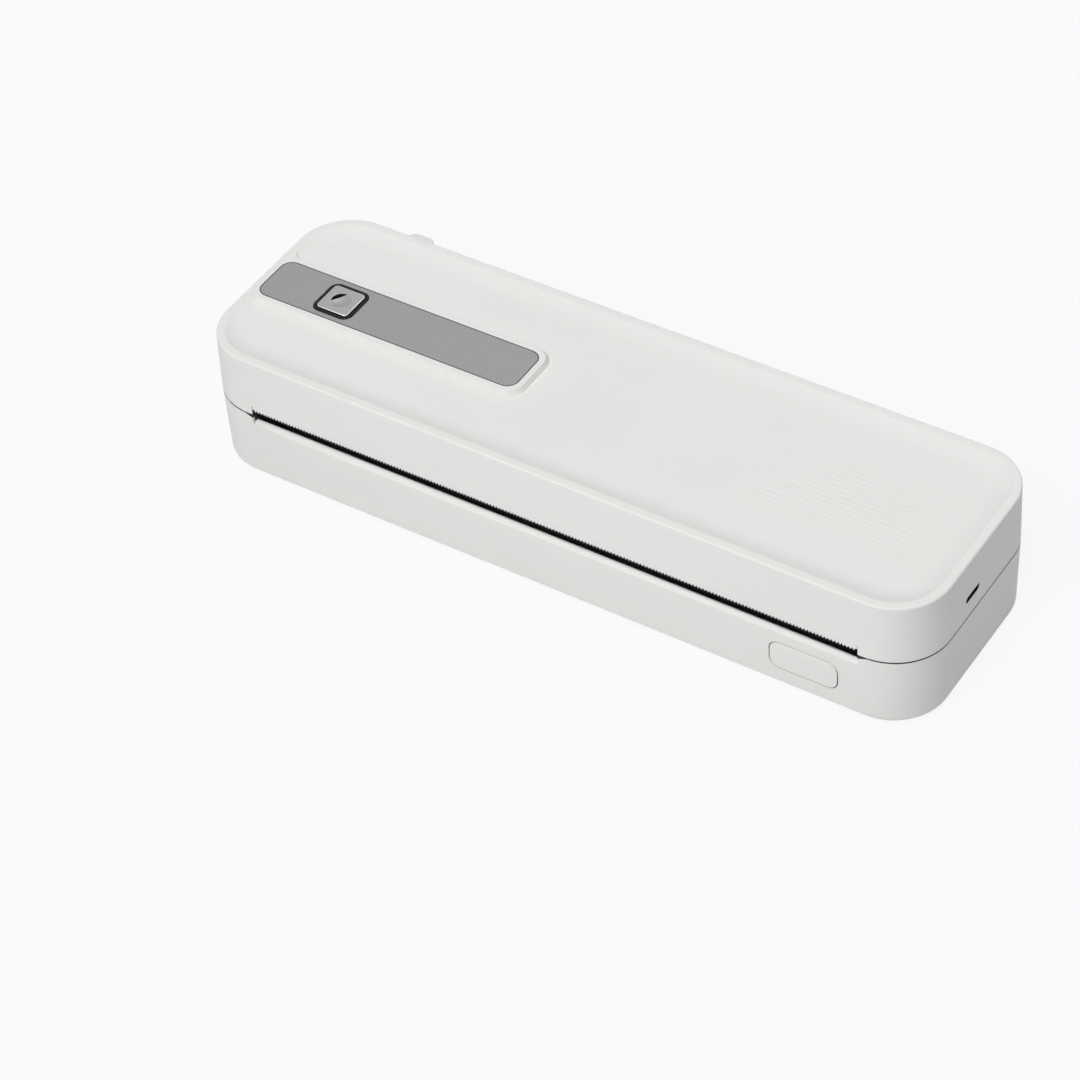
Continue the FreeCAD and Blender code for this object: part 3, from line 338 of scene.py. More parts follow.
# Grey ABS with a coarser grain: a flat, dull inside that lets the bright parts stand out
inner_abs = moulded("grey_abs_inner", "#5A5A5D", "#4E4E51", 0.6, 0.02, 0.5, 0.64)

# Black ABS with a satin tool finish: a dark outline with hardly a highlight, also used as painted shade
# lining the port's opening
black_abs_and_shade = moulded("black_abs_satin_and_painted_shade", "#18181B", "#111114", 0.4, 0.004, 0.5, 0.6, shine=0.15)

# Painted dark reflection and shade: a nearly black moon in the key's dimple, where its rear left wall
# reflects the dark
painted_reflection_black = moulded("painted_dark_reflection", "#030304", "#020203", 0.5, 0.002, 0.5, 0.6, shine=0.05)

# Moulded epoxy: charcoal chips with a dry, sandy face
chip_epoxy = moulded("black_epoxy_chip", "#262626", "#1C1C1C", 0.3, 0.01, 0.45, 0.6)

# Natural acetal: creamy, slightly waxy wheels and bushes
gear_acetal = moulded("natural_acetal", "#E6E3D8", "#DDD9CC", 0.8, 0.006, 0.32, 0.42)

# Ground silicone rubber: a soft black without shine, also used as painted shade in the gaps round the plate
# and the release button, along the parting line and on the slot's end walls
rubber_and_shade_black = moulded("ground_rubber_and_painted_shade", "#1D1D1E", "#151516", 0.3, 0.03, 0.7, 0.86)

# Shrink film over the cells: smooth blue with a tight sheen
cell_film = moulded("shrink_film_blue", "#34507E", "#2B4470", 2.0, 0.01, 0.22, 0.34)

# Glazed alumina: a smooth ivory bar with a wet gleam
head_alumina = moulded("glazed_alumina", "#DDD9CC", "#D2CDBE", 0.4, 0.004, 0.14, 0.24)

# Fired glass over the heater dots: a thin brown line, shinier than the ceramic
heater_glaze = moulded("heater_glaze", "#5B4A3C", "#493A2E", 0.6, 0.002, 0.12, 0.2)

# Pressed ferrite: a dull dark grey coil body
ferrite_grey = moulded("ferrite_coil", "#4A4A4C", "#3C3C3E", 0.5, 0.02, 0.5, 0.66)

# Fired capacitor ceramic: small tan blocks
cap_ceramic = moulded("capacitor_ceramic", "#B49A78", "#A58A68", 0.4, 0.006, 0.3, 0.42)


def printed_lines(name, ground, line, pitch_mm, patch_mm, patch_share, rough):
    """Film or board with rows of thin printed conductors, in patches where the share is below one."""
    material, tree, shader, place = start_material(name, 0.0, FILM_IOR)
    rows = add_node(tree, "ShaderNodeTexWave",
                    {"bands_direction": "X", "Scale": WAVE_PERIOD / (pitch_mm * MM)},
                    {"Vector": (place, "Object")})
    thin = add_node(tree, "ShaderNodeMapRange", {"From Min": TRACK_EDGE[0], "From Max": TRACK_EDGE[1]},
                    {"Value": (rows, "Fac")})
    patches = add_node(tree, "ShaderNodeTexNoise", {"Scale": 1 / (patch_mm * MM), "Detail": 1.0},
                       {"Vector": (place, "Object")})
    edge = 1.0 - patch_share
    inside = add_node(tree, "ShaderNodeMapRange",
                      {"From Min": edge - PATCH_EDGE, "From Max": edge + PATCH_EDGE},
                      {"Value": (patches, "Fac")})
    share = add_node(tree, "ShaderNodeMath", {"operation": "MULTIPLY"},
                     {0: (thin, "Result"), 1: (inside, "Result")})
    tint = add_node(tree, "ShaderNodeMix",
                    {"data_type": "RGBA", MIX_FIRST: linear(ground), MIX_SECOND: linear(line)},
                    {0: (share, "Value")})
    tree.links.new(tint.outputs[MIX_RESULT], shader.inputs["Base Color"])
    relief = add_node(tree, "ShaderNodeBump", {"Strength": 0.6, "Distance": TRACK_PROUD * MM},
                      {"Height": (share, "Value")})
    tree.links.new(relief.outputs["Normal"], shader.inputs["Normal"])
    shader.inputs["Roughness"].default_value = rough
    return material


# Solder mask over copper: deep green with paler rows of tracks in patches
mask_green = printed_lines("solder_mask_green", "#1A5235", "#2F7A52", 0.9, 9.0, 0.5, 0.34)

# Polyimide ribbon: amber film with darker copper stripes. The real pitch is 0.5 mm, drawn at 1 mm to show
ribbon_film = printed_lines("polyimide_ribbon", "#C79A4A", "#9A6A2C", 1.0, 40.0, 1.0, 0.36)


def drawn_metal(name, light, dark, line_mm, rough_low, rough_high, stretch=60.0):
    """Metal with drawn or brushed lines along its length."""
    material, tree, shader, place = start_material(name, 1.0)
    turn = add_node(tree, "ShaderNodeMapping", {"Scale": (1 / stretch, 1.0, 1.0)},
                    {"Vector": (place, "Object")})
    lines = add_node(tree, "ShaderNodeTexNoise", {"Scale": 1 / (line_mm * MM), "Detail": 4.0},
                     {"Vector": (turn, "Vector")})
    tint = add_node(tree, "ShaderNodeMix",
                    {"data_type": "RGBA", MIX_FIRST: linear(dark), MIX_SECOND: linear(light)},
                    {0: (lines, "Fac")})
    tree.links.new(tint.outputs[MIX_RESULT], shader.inputs["Base Color"])
    rough = add_node(tree, "ShaderNodeMapRange", {"To Min": rough_low, "To Max": rough_high},
                     {"Value": (lines, "Fac")})
    tree.links.new(rough.outputs["Result"], shader.inputs["Roughness"])
    return material


# Zinc-plated sheet and rod: pale grey with faint rolling lines
sheet_steel = drawn_metal("zinc_plated_steel", "#C2C3C6", "#A5A6AA", 0.3, 0.28, 0.44)

# Bare spring wire: a darker, tighter gleam along the coils
spring_wire = drawn_metal("spring_steel_wire", "#A9AAAE", "#8B8C90", 0.2, 0.22, 0.36)

# Milled aluminium: a bright bar with fine cutter lines along it
milled_aluminium = drawn_metal("milled_aluminium", "#D4D5D8", "#BDBEC2", 0.25, 0.3, 0.46)

# Zinc-plated screws: small dull highlights with no direction
screw_zinc = drawn_metal("screw_zinc", "#BDBEC0", "#A2A3A6", 0.2, 0.26, 0.4, stretch=1.0)

# Gold-plated contacts: warm glints inside the socket
contact_gold = drawn_metal("gold_plated_contact", "#E2BF6A", "#CFA850", 0.15, 0.2, 0.32)

# Nickel-plated deep-drawn can: smooth and a little mirror-like
motor_can = drawn_metal("nickel_plated_can", "#B4B4B2", "#9C9C9A", 0.4, 0.18, 0.3)

# Painted highlight: a thin bright line on the rounded edge round the key
edge_highlight_paint = drawn_metal("painted_highlight_edge", "#E6E6E4", "#D8D8D6", 0.2, 0.26, 0.36)


def flake_paint(name, light, dark, flake_mm, metallic, rough):
    """Silver paint with fine metal flakes that sparkle a little."""
    material, tree, shader, place = start_material(name, metallic)
    flakes = add_node(tree, "ShaderNodeTexVoronoi", {"Scale": 1 / (flake_mm * MM)},
                      {"Vector": (place, "Object")})
    value = add_node(tree, "ShaderNodeSeparateColor", {}, {"Color": (flakes, "Color")})
    tint = add_node(tree, "ShaderNodeMix",
                    {"data_type": "RGBA", MIX_FIRST: linear(dark), MIX_SECOND: linear(light)},
                    {0: (value, "Red")})
    tree.links.new(tint.outputs[MIX_RESULT], shader.inputs["Base Color"])
    shader.inputs["Roughness"].default_value = rough
    return material


# Silver paint on the plate: an even mid grey with a very fine sparkle
plate_paint = flake_paint("silver_flake_paint", "#9A9A9C", "#8F8F91", 0.3, 0.35, 0.48)

# Satin silver paint on the key: paler and warmer than the plate
key_paint = flake_paint("satin_key_paint", "#A8A8A6", "#9B9B99", 0.3, 0.35, 0.38)

# CAD nodes whose shape stays as it is
kept_nodes = {"head_pivots": sheet_steel, "head_springs": spring_wire, "latch_spring": spring_wire,
              "head_ribbon": ribbon_film, "power_ribbon": ribbon_film, "motor_pinion": gear_acetal}
for node, finish in kept_nodes.items():
    frame["nodes"][node].data.materials.clear()
    frame["nodes"][node].data.materials.append(finish)

# Cover and base: the CAD shapes with their outside edges softened

SHELL_ROUND = 0.2
LIP_ROUND = 0.6
ISLAND_ROUND = 0.7
RIM_ROUND_SHARE = 0.4
OUTSIDE_DEPTH = 1.2
COVE_SLOPE = (0.3, 0.97)

# Fine grooves in the dish, which get deeper towards their right ends
GROOVES_HALF_Y = 18.0
GROOVES_X = (40.0, 125.0)
GROOVE_END_X = 123.5
GROOVE_DEPTH = 0.04
GROOVE_DEEPER = 0.07
GROOVE_REACH = 0.15
GROOVE_SLOPE = 0.002

# Where the lip under the slot and the slot's ends lie
LIP_HALF_X = 112.5
LIP_Y = -37.0
LIP_Z = (22.5, 24.3)
SLOT_END_X = (113.0, 118.5)
SLOT_END_Y = -36.0
SLOT_END_Z = (22.0, 33.0)


def floor_groove(face, middle):
    """Sides of the fine grooves in the dish."""
    across = abs(face.normal.x) < GROOVE_SLOPE < abs(face.normal.y)
    inside = abs(middle.y) < GROOVES_HALF_Y and GROOVES_X[0] < middle.x < GROOVES_X[1]
    return inside and abs(middle.z - DISH_Z) < GROOVE_REACH and across


def groove_end(point, middle):
    """Deepest point of each groove at its right end."""
    deepest = abs(middle.z - DISH_Z + GROOVE_DEPTH) < NEAR / 2
    return abs(middle.y) < GROOVES_HALF_Y and middle.x > GROOVE_END_X and deepest


def dish_lip(edge, middle):
    """The line where the rim and the island turn down into the dish."""
    if middle.z < TOP_Z - NEAR or len(edge.link_faces) != 2 or wall_depth(middle) < RIM_WIDTH / 2:
        return False
    low_face, high_face = sorted(edge.link_faces, key=lambda face: face.normal.z)
    return high_face.normal.z > FLAT and COVE_SLOPE[0] < low_face.normal.z < COVE_SLOPE[1]


def slot_lip(edge, middle):
    """Edges of the sloping lip under the slot."""
    inside = middle.y < LIP_Y and LIP_Z[0] < middle.z < LIP_Z[1] and abs(middle.x) < LIP_HALF_X
    return inside and sharp(edge, SLIGHT_BEND)


def slot_end(middle):
    """The short stretch at both ends of the slot, where ramp, lip and wall meet."""
    beside = SLOT_END_X[0] < abs(middle.x) < SLOT_END_X[1]
    return beside and middle.y < SLOT_END_Y and SLOT_END_Z[0] < middle.z < SLOT_END_Z[1]


def outer_edge(edge, middle):
    """Sharp edges on the outside of the shells, but for the slot's ends."""
    return wall_depth(middle) < OUTSIDE_DEPTH and sharp(edge) and not slot_end(middle)


cover = cad_copy("cover_skin", "top_cover")
choose("VERT", groove_end)
bpy.ops.transform.translate(value=(0, 0, -GROOVE_DEEPER * MM))
choose("EDGE", outer_edge)
round_over(SHELL_ROUND, 3)
pick(cover)
cover.data.attributes.new("bevel_weight_edge", "FLOAT", "EDGE")
shape = bmesh.new()
shape.from_mesh(cover.data)
layer = shape.edges.layers.float["bevel_weight_edge"]
for edge in shape.edges:
    middle = (edge.verts[0].co + edge.verts[1].co) / 2 / MM - BODY_SHIFT
    if dish_lip(edge, middle):
        edge[layer] = min(1.0, max(RIM_ROUND_SHARE, wall_depth(middle) - RIM_WIDTH))
shape.to_mesh(cover.data)
shape.free()
ease = cover.modifiers.new("ease", "BEVEL")
ease.limit_method = "WEIGHT"
ease.width = ISLAND_ROUND * MM
ease.segments = 5
bpy.ops.object.modifier_apply(modifier=ease.name)
close_mesh(cover, flat=floor_groove)
dress(cover, "cover", [shell_abs], "top_cover")

base = cad_copy("base_skin", "base_shell")
choose("EDGE", slot_lip)
round_over(LIP_ROUND, 4)
choose("EDGE", outer_edge)
round_over(SHELL_ROUND, 3)
close_mesh(base)
dress(base, "base", [shell_abs], "base_shell")

# Painted shade: a dark strip in the parting gap that stands in for the gap's shadow, which makes the thin
# dark line round both ends and dips to the slot
SEAM_LOW = 27.23
SEAM_HIGH = 27.73
SEAM_OUT = 0.06
SEAM_WIDE = 0.9
SEAM_REAR_Y = 33.75
SLOT_HALF = 114.2
RAMP_RUN = 3.2
RAMP_DROP = 1.25
RAMP_DEEP = 3.0
WEDGE_CLEAR = 0.02
FAR = 200.0
ramp_foot = SLOT_HALF + WEDGE_CLEAR
ramp_head = SLOT_HALF + RAMP_RUN
seam_corner = Vector((HALF_LENGTH - SEAM_OUT, HALF_DEPTH - SEAM_OUT, 0))
seam_shade = frame_ring("painted_seam_shade", Vector((0, 0, SEAM_LOW)) - seam_corner,
                  Vector((0, 0, SEAM_HIGH)) + seam_corner, "Z", CORNER - SEAM_OUT, 24, SEAM_WIDE)
cut_with(seam_shade, block("front_and_rear", (-ramp_head, -FAR, 0), (ramp_head, FAR, FAR)))
cut_with(seam_shade, block("hinge_side", (-FAR, SEAM_REAR_Y, 0), (FAR, FAR, FAR)))
wedges = []
for side in (-1, 1):
    near, far = sorted((side * ramp_foot, side * ramp_head))
    wedge = block("seam_wedge", (near, -seam_corner.y, SEAM_LOW), (far, RAMP_DEEP - seam_corner.y, SEAM_HIGH))
    choose("EDGE", lambda edge, middle: middle.z < SEAM_LOW + NEAR and abs(middle.x) < ramp_foot + NEAR)
    bpy.ops.transform.translate(value=(0, 0, -RAMP_DROP * MM))
    wedges.append(wedge)
seam_shade = join_all("painted_seam_shade", [seam_shade] + wedges)
close_mesh(seam_shade)
dress(seam_shade, "base", [rubber_and_shade_black])

# Painted shade: thin black pads on both end walls of the slot, on the cover above the parting line and on the
# base below it, that darken the ends like the shadow inside the slot
SHADE_PAD_THICK = 0.2
SHADE_PAD_ROUND = 0.05


def end_wall_shade(name, body, front_y, rear_y, low_z, high_z):
    """Thin dark pads of painted shade on the slot's two end walls."""
    inner_x = SLOT_HALF - SHADE_PAD_THICK
    pads = []
    for side in (-1, 1):
        near, far = sorted((side * inner_x, side * (SLOT_HALF - NEAR)))
        pad = block(name, (near, front_y, low_z), (far, rear_y, high_z))
        choose("EDGE", lambda edge, middle: abs(middle.x) < inner_x + NEAR)
        round_over(SHADE_PAD_ROUND, 1)
        pads.append(pad)
    end_shade = join_all(name, pads)
    close_mesh(end_shade)
    dress(end_shade, body, [rubber_and_shade_black])


end_wall_shade("cover_end_shade", "cover", front_y=-40.6, rear_y=-39.05, low_z=27.8, high_z=29.6)
end_wall_shade("base_end_shade", "base", front_y=-40.0, rear_y=-37.9, low_z=24.25, high_z=25.95)

# Plate, a thin black ring of painted shade in the gap round it, and the ring and cap of the key
PLATE_CORNER = 4.0
PLATE_ROUND = 0.1
GAP_SHADE_WIDE = 0.23
GAP_SHADE_LAP = 0.12
GAP_SHADE_PROUD = 0.015
RING_ROUND = 0.18
plate_low, plate_high = corners("control_plate")
plate = cad_copy("plate_silver", "control_plate")
choose("EDGE", lambda edge, middle: middle.z > plate_high.z - NEAR and sharp(edge))
round_over(PLATE_ROUND, 3)
close_mesh(plate)
dress(plate, "cover", [plate_paint], "control_plate")

# Painted shade: a thin black ring that stands in for the shadow in the gap round the plate
grow = Vector((GAP_SHADE_WIDE, GAP_SHADE_WIDE, 0))
plate_shade_ring = frame_ring("plate_gap_shade", plate_low - grow, plate_high + grow + Vector((0, 0, GAP_SHADE_PROUD)),
                    "Z", PLATE_CORNER + GAP_SHADE_WIDE, 12, GAP_SHADE_WIDE + GAP_SHADE_LAP)
close_mesh(plate_shade_ring)
dress(plate_shade_ring, "cover", [rubber_and_shade_black])

ring_top = corners("button_bezel")[1].z
bezel = cad_copy("key_ring", "button_bezel")
choose("EDGE", lambda edge, middle: middle.z > ring_top - NEAR and sharp(edge))
round_over(RING_ROUND, 3)
close_mesh(bezel)
dress(bezel, "cover", [black_abs_and_shade], "button_bezel")

KEY_HALF = 6.15
KEY_ROUND = 0.3
KEY_EDGE_WIDE = 1.6 * KEY_ROUND
KEY_PAINT_DEEP = 1.0
KEY_PAINT_SLOPE = 0.15
KEY_EDGE_SLOPE = 0.97
KEY_PAINT_SLOT = 1
KEY_EDGE_SLOT = 2
key_low, key_high = corners("power_button")
key_x = (key_low.x + key_high.x) / 2
key = cad_copy("key_cap", "power_button")
choose("EDGE", lambda edge, middle: middle.z > key_high.z - NEAR and sharp(edge, SLIGHT_BEND))
round_over(KEY_ROUND, 4)
close_mesh(key)
dress(key, "power_key", [black_abs_and_shade, key_paint, edge_highlight_paint], "power_button")
# Sides stay black, the top takes the key's paint, and its rounded edge takes the painted highlight
for face in key.data.polygons:
    middle = face.center / MM - Vector((key_x, BODY_MID_Y, key_high.z))
    outer = max(abs(middle.x), abs(middle.y)) > KEY_HALF - KEY_EDGE_WIDE
    if middle.z > -KEY_PAINT_DEEP and face.normal.z > KEY_PAINT_SLOPE:
        face.material_index = KEY_EDGE_SLOT if outer and face.normal.z < KEY_EDGE_SLOPE else KEY_PAINT_SLOT

# Painted dark reflection and shade: a black half moon let into the rear left side of the dimple, standing in
# for the dark that this wall reflects
DIMPLE_RADIUS = 9.1
DIMPLE_DEPTH = 0.7
MOON_PROUD = 0.03
MOON_RADIUS = 3.4
MOON_DEEP = 2.0
BITE_RADIUS = 14.0
BITE_X = 10.2
BITE_Y = -6.36
reflection_moon_z = key_high.z - MOON_DEEP / 2
reflection_moon = drum("painted_reflection_moon", (key_x, 0, reflection_moon_z), MOON_RADIUS, MOON_DEEP, 96)
cut_with(reflection_moon, drum("reflection_moon_bite", (key_x + BITE_X, BITE_Y, reflection_moon_z), BITE_RADIUS, 2 * MOON_DEEP, 256))
deselect_all()
dimple_middle = Vector((key_x, BODY_MID_Y, key_high.z + DIMPLE_RADIUS - DIMPLE_DEPTH)) * MM
bpy.ops.mesh.primitive_uv_sphere_add(segments=128, ring_count=96, radius=(DIMPLE_RADIUS - MOON_PROUD) * MM,
                                     location=dimple_middle)
cut_with(reflection_moon, bpy.context.object)
close_mesh(reflection_moon)
dress(reflection_moon, "power_key", [painted_reflection_black])

# Release button
RELEASE_FRONT = 0.3
RELEASE_ROUND = 0.35
release_front_y = corners("release_button")[0].y
release = cad_copy("release_cap", "release_button")
choose("EDGE", lambda edge, middle: middle.y < release_front_y + RELEASE_FRONT and sharp(edge))
round_over(RELEASE_ROUND, 4)
close_mesh(release)
dress(release, "release", [shell_abs], "release_button")

# Painted shade: a black ring in the gap round the button, just behind the wall's face, standing in for the
# gap's shadow
SHADE_RING_CLEAR = 0.06
SHADE_RING_WIDE = 0.23
SHADE_RING_FRONT_Y = -40.6
SHADE_RING_DEEP = 1.2
CAP_LOW = Vector((83.0, SHADE_RING_FRONT_Y, 7.9))
CAP_HIGH = Vector((107.0, SHADE_RING_FRONT_Y + SHADE_RING_DEEP, 18.7))
CAP_CORNER = 3.5
shade_ring_out = SHADE_RING_CLEAR + SHADE_RING_WIDE
shade_ring_grow = Vector((shade_ring_out, 0, shade_ring_out))
release_shade_ring = frame_ring("release_gap_shade", CAP_LOW - shade_ring_grow, CAP_HIGH + shade_ring_grow,
                  "Y", CAP_CORNER + shade_ring_out, 12, SHADE_RING_WIDE)
close_mesh(release_shade_ring)
dress(release_shade_ring, "base", [rubber_and_shade_black])


def softened(name, node, finish, width, steps=2, degrees=SHARP_BEND):
    """CAD shape of a node with all its sharp edges rounded a little."""
    piece = cad_copy(name, node)
    choose("EDGE", lambda edge, middle: sharp(edge, degrees))
    round_over(width, steps)
    close_mesh(piece)
    dress(piece, frame["nodes"][node]["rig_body"], [finish], node)


# Rear guide and tear bar
softened("guide_tab", "paper_guide", shell_abs, 0.45, steps=4)
softened("tear_teeth", "tear_bar", shell_abs, 0.06, steps=1, degrees=50.0)

# Inside the base
softened("bay_tray", "paper_bay", inner_abs, 0.25)
softened("roller_rubber", "platen_roller", rubber_and_shade_black, 0.4, steps=3)
softened("roller_shaft", "platen_shaft", sheet_steel, 0.3)
softened("roller_bushes", "platen_bearings", gear_acetal, 0.2)
softened("roller_sides", "roller_cheeks", sheet_steel, 0.15)
softened("latch_rod", "latch_bar", inner_abs, 0.2)
softened("pivot_pins", "hinge_pins", sheet_steel, 0.25)

# Inside the cover
softened("liner_tray", "cover_liner", inner_abs, 0.2)
softened("head_arch", "head_bracket", sheet_steel, 0.15)
softened("head_bar", "head_heatsink", milled_aluminium, 0.25)
softened("head_plate", "head_ceramic", head_alumina, 0.08)
softened("motor_drum", "drive_motor", motor_can, 0.35, steps=3)
softened("motor_mount", "motor_plate", sheet_steel, 0.15)
softened("gear_post", "idler_stud", sheet_steel, 0.15)
softened("charge_board", "usb_board", mask_green, 0.1, steps=1)
softened("logic_board", "main_board", mask_green, 0.1, steps=1)
softened("chips", "board_parts", chip_epoxy, 0.15)
softened("click_switch", "tact_switch", chip_epoxy, 0.15)
softened("cell_pack", "battery_cells", cell_film, 0.5, steps=3)
softened("sheet_sensor", "paper_sensor", chip_epoxy, 0.12)
softened("port_shell", "usb_socket", motor_can, 0.08)

# Heater line and driver bead on the underside of the ceramic
STRIP_LET_IN = 0.1
ceramic_z = corners("head_ceramic")[0].z


def head_strip(name, finish, half_length, front_y, rear_y, proud, width, steps):
    """Long strip under the ceramic with its lower edges rounded."""
    strip = block(name, (-half_length, front_y, ceramic_z - proud),
                  (half_length, rear_y, ceramic_z + STRIP_LET_IN))
    choose("EDGE", lambda edge, middle: middle.z < ceramic_z and sharp(edge))
    round_over(width, steps)
    close_mesh(strip)
    dress(strip, "print_head", [finish])


head_strip("heater_line", heater_glaze, half_length=108.0, front_y=-27.9, rear_y=-27.1, proud=0.04,
           width=0.03, steps=2)
head_strip("driver_bead", chip_epoxy, half_length=109.0, front_y=-25.9, rear_y=-23.7, proud=0.55,
           width=0.5, steps=5)


def wheel(name, node, hub_radius, web_radius, web_sink):
    """Moulded gear with a sunk web on both sides."""
    low, high = corners(node)
    middle = (low + high) / 2
    piece = cad_copy(name, node)
    for face_x in (low.x, high.x):
        ring = drum("web_cut", (face_x, middle.y, middle.z), web_radius, 2 * web_sink, 64, "X")
        cut_with(ring, drum("web_hub", (face_x, middle.y, middle.z), hub_radius, 4 * web_sink, 64, "X"))
        cut_with(piece, ring)
    close_mesh(piece)
    dress(piece, frame["nodes"][node]["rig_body"], [gear_acetal], node)


# Gears
wheel("roller_wheel", "platen_gear", hub_radius=4.3, web_radius=6.8, web_sink=0.9)
wheel("middle_wheel", "idler_gear", hub_radius=2.8, web_radius=5.0, web_sink=0.9)

# Screws: one pan head with a cross recess, copied to every place
SCREW_HEAD_RADIUS = 2.2
SCREW_HEAD = 1.3
SCREW_HEAD_ROUND = 0.6
SCREW_RADIUS = 1.1
SCREW_LENGTH = 6.0
SCREW_TIP = 0.8
SCREW_TIP_SHARE = 0.4
CROSS_LONG = 2.5
CROSS_WIDE = 0.55
CROSS_DEEP = 0.75
CROSS_OVER = 0.3
CROSS_TAPER = 0.6
END_FACE_WITHIN = 0.05
ORIGIN_Y = -BODY_MID_Y


def screw_places(node):
    """Middle of each screw head's outer face, and whether the head points down."""
    cad_copy("probe", node)
    bpy.ops.mesh.separate(type="LOOSE")
    bpy.ops.object.mode_set(mode="OBJECT")
    places = []
    for part in list(bpy.context.selected_objects):
        points = [v.co / MM for v in part.data.vertices]
        xs, ys, zs = [[p[i] for p in points] for i in range(3)]
        middle = Vector(((min(xs) + max(xs)) / 2, (min(ys) + max(ys)) / 2, 0))
        widest = {}
        for end in (min(zs), max(zs)):
            widest[end] = max((p.xy - middle.xy).length for p in points if abs(p.z - end) < END_FACE_WITHIN)
        head = max(widest, key=widest.get)
        places.append((Vector((middle.x, middle.y - BODY_MID_Y, head)), head < (min(zs) + max(zs)) / 2))
        bpy.data.objects.remove(part)
    return places


def placed_copies(name, model, places):
    """Copies of a model, each with its own mesh, joined into one piece."""
    made = []
    for place, flipped in places:
        copy = bpy.data.objects.new(name, model.data.copy())
        turn = Matrix.Rotation(math.pi if flipped else 0.0, 4, "X")
        copy.data.transform(Matrix.Translation((place + BODY_SHIFT) * MM) @ turn)
        bpy.context.collection.objects.link(copy)
        made.append(copy)
    return join_all(name, made)


screw = drum("screw", (0, ORIGIN_Y, -SCREW_HEAD / 2), SCREW_HEAD_RADIUS, SCREW_HEAD, 40)
choose("FACE", looks_down)
bpy.ops.mesh.inset(thickness=(SCREW_HEAD_RADIUS - SCREW_RADIUS) * MM)
for length in (SCREW_LENGTH - SCREW_TIP, SCREW_TIP):
    bpy.ops.mesh.extrude_region_move(TRANSFORM_OT_translate={"value": (0, 0, -length * MM)})
bpy.ops.transform.resize(value=(SCREW_TIP_SHARE, SCREW_TIP_SHARE, 1.0),
                         center_override=(0, 0, -(SCREW_HEAD + SCREW_LENGTH) * MM))
choose("EDGE", lambda edge, middle: middle.z > -NEAR and sharp(edge))
round_over(SCREW_HEAD_ROUND, 5)
for long_x, long_y in ((CROSS_LONG, CROSS_WIDE), (CROSS_WIDE, CROSS_LONG)):
    arm = block("cross_arm", (-long_x / 2, ORIGIN_Y - long_y / 2, -CROSS_DEEP),
                (long_x / 2, ORIGIN_Y + long_y / 2, CROSS_OVER))
    choose("FACE", looks_down)
    bpy.ops.transform.resize(value=(CROSS_TAPER, CROSS_TAPER, 1.0), center_override=(0, 0, -CROSS_DEEP * MM))
    cut_with(screw, arm)
close_mesh(screw)
for node in ("bay_screws", "liner_screws", "bracket_screws", "board_screws", "usb_screws"):
    heads = placed_copies(node + "_cross", screw, screw_places(node))
    dress(heads, frame["nodes"][node]["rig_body"], [screw_zinc], node)
bpy.data.objects.remove(screw)

# Feet: moulded rubber pads with a raised rim
FOOT_RADIUS = 6.0
FOOT_HEIGHT = 1.0
FOOT_RIM = 1.3
FOOT_SINK = 0.3
FOOT_ROUND = 0.25
foot = drum("foot", (0, ORIGIN_Y, FOOT_HEIGHT / 2), FOOT_RADIUS, FOOT_HEIGHT, 64)
choose("FACE", looks_down)
bpy.ops.mesh.inset(thickness=FOOT_RIM * MM)
bpy.ops.mesh.extrude_region_move(TRANSFORM_OT_translate={"value": (0, 0, FOOT_SINK * MM)})
choose("EDGE", lambda edge, middle: middle.z < FOOT_SINK + NEAR and sharp(edge))
round_over(FOOT_ROUND, 3)
close_mesh(foot)
feet_high = corners("rubber_feet")[1]
foot_x, foot_y = feet_high.x - FOOT_RADIUS, feet_high.y - FOOT_RADIUS
foot_places = [(Vector((x, y, 0)), False) for x in (-foot_x, foot_x) for y in (-foot_y, foot_y)]
feet = placed_copies("foot_pads", foot, foot_places)
bpy.data.objects.remove(foot)
dress(feet, "base", [rubber_and_shade_black], "rubber_feet")

# Gold contacts on both sides of the socket's tongue
TONGUE_HALF = 0.35
CONTACT_NEAR_X = 1.6
CONTACT_FAR_X = 4.7
CONTACT_FIRST_Y = -2.88
CONTACT_WIDE = 0.26
CONTACT_PROUD = 0.03
CONTACT_PITCH = 0.5
CONTACT_COUNT = 12
port_low, port_high = corners("usb_socket")
port_middle = (port_low + port_high) / 2
contact_y = port_middle.y + CONTACT_FIRST_Y
strips = []
for side in (-1, 1):
    face_z = port_middle.z + side * TONGUE_HALF
    strip = block("contact", (port_low.x + CONTACT_NEAR_X, contact_y, face_z - CONTACT_PROUD),
                  (port_low.x + CONTACT_FAR_X, contact_y + CONTACT_WIDE, face_z + CONTACT_PROUD))
    pick(strip)
    row = strip.modifiers.new("row", "ARRAY")
    row.count = CONTACT_COUNT
    row.use_relative_offset = False
    row.use_constant_offset = True
    row.constant_offset_displace = (0, CONTACT_PITCH * MM, 0)
    bpy.ops.object.modifier_apply(modifier=row.name)
    strips.append(strip)
contacts = join_all("port_contacts", strips)
dress(contacts, "cover", [contact_gold])

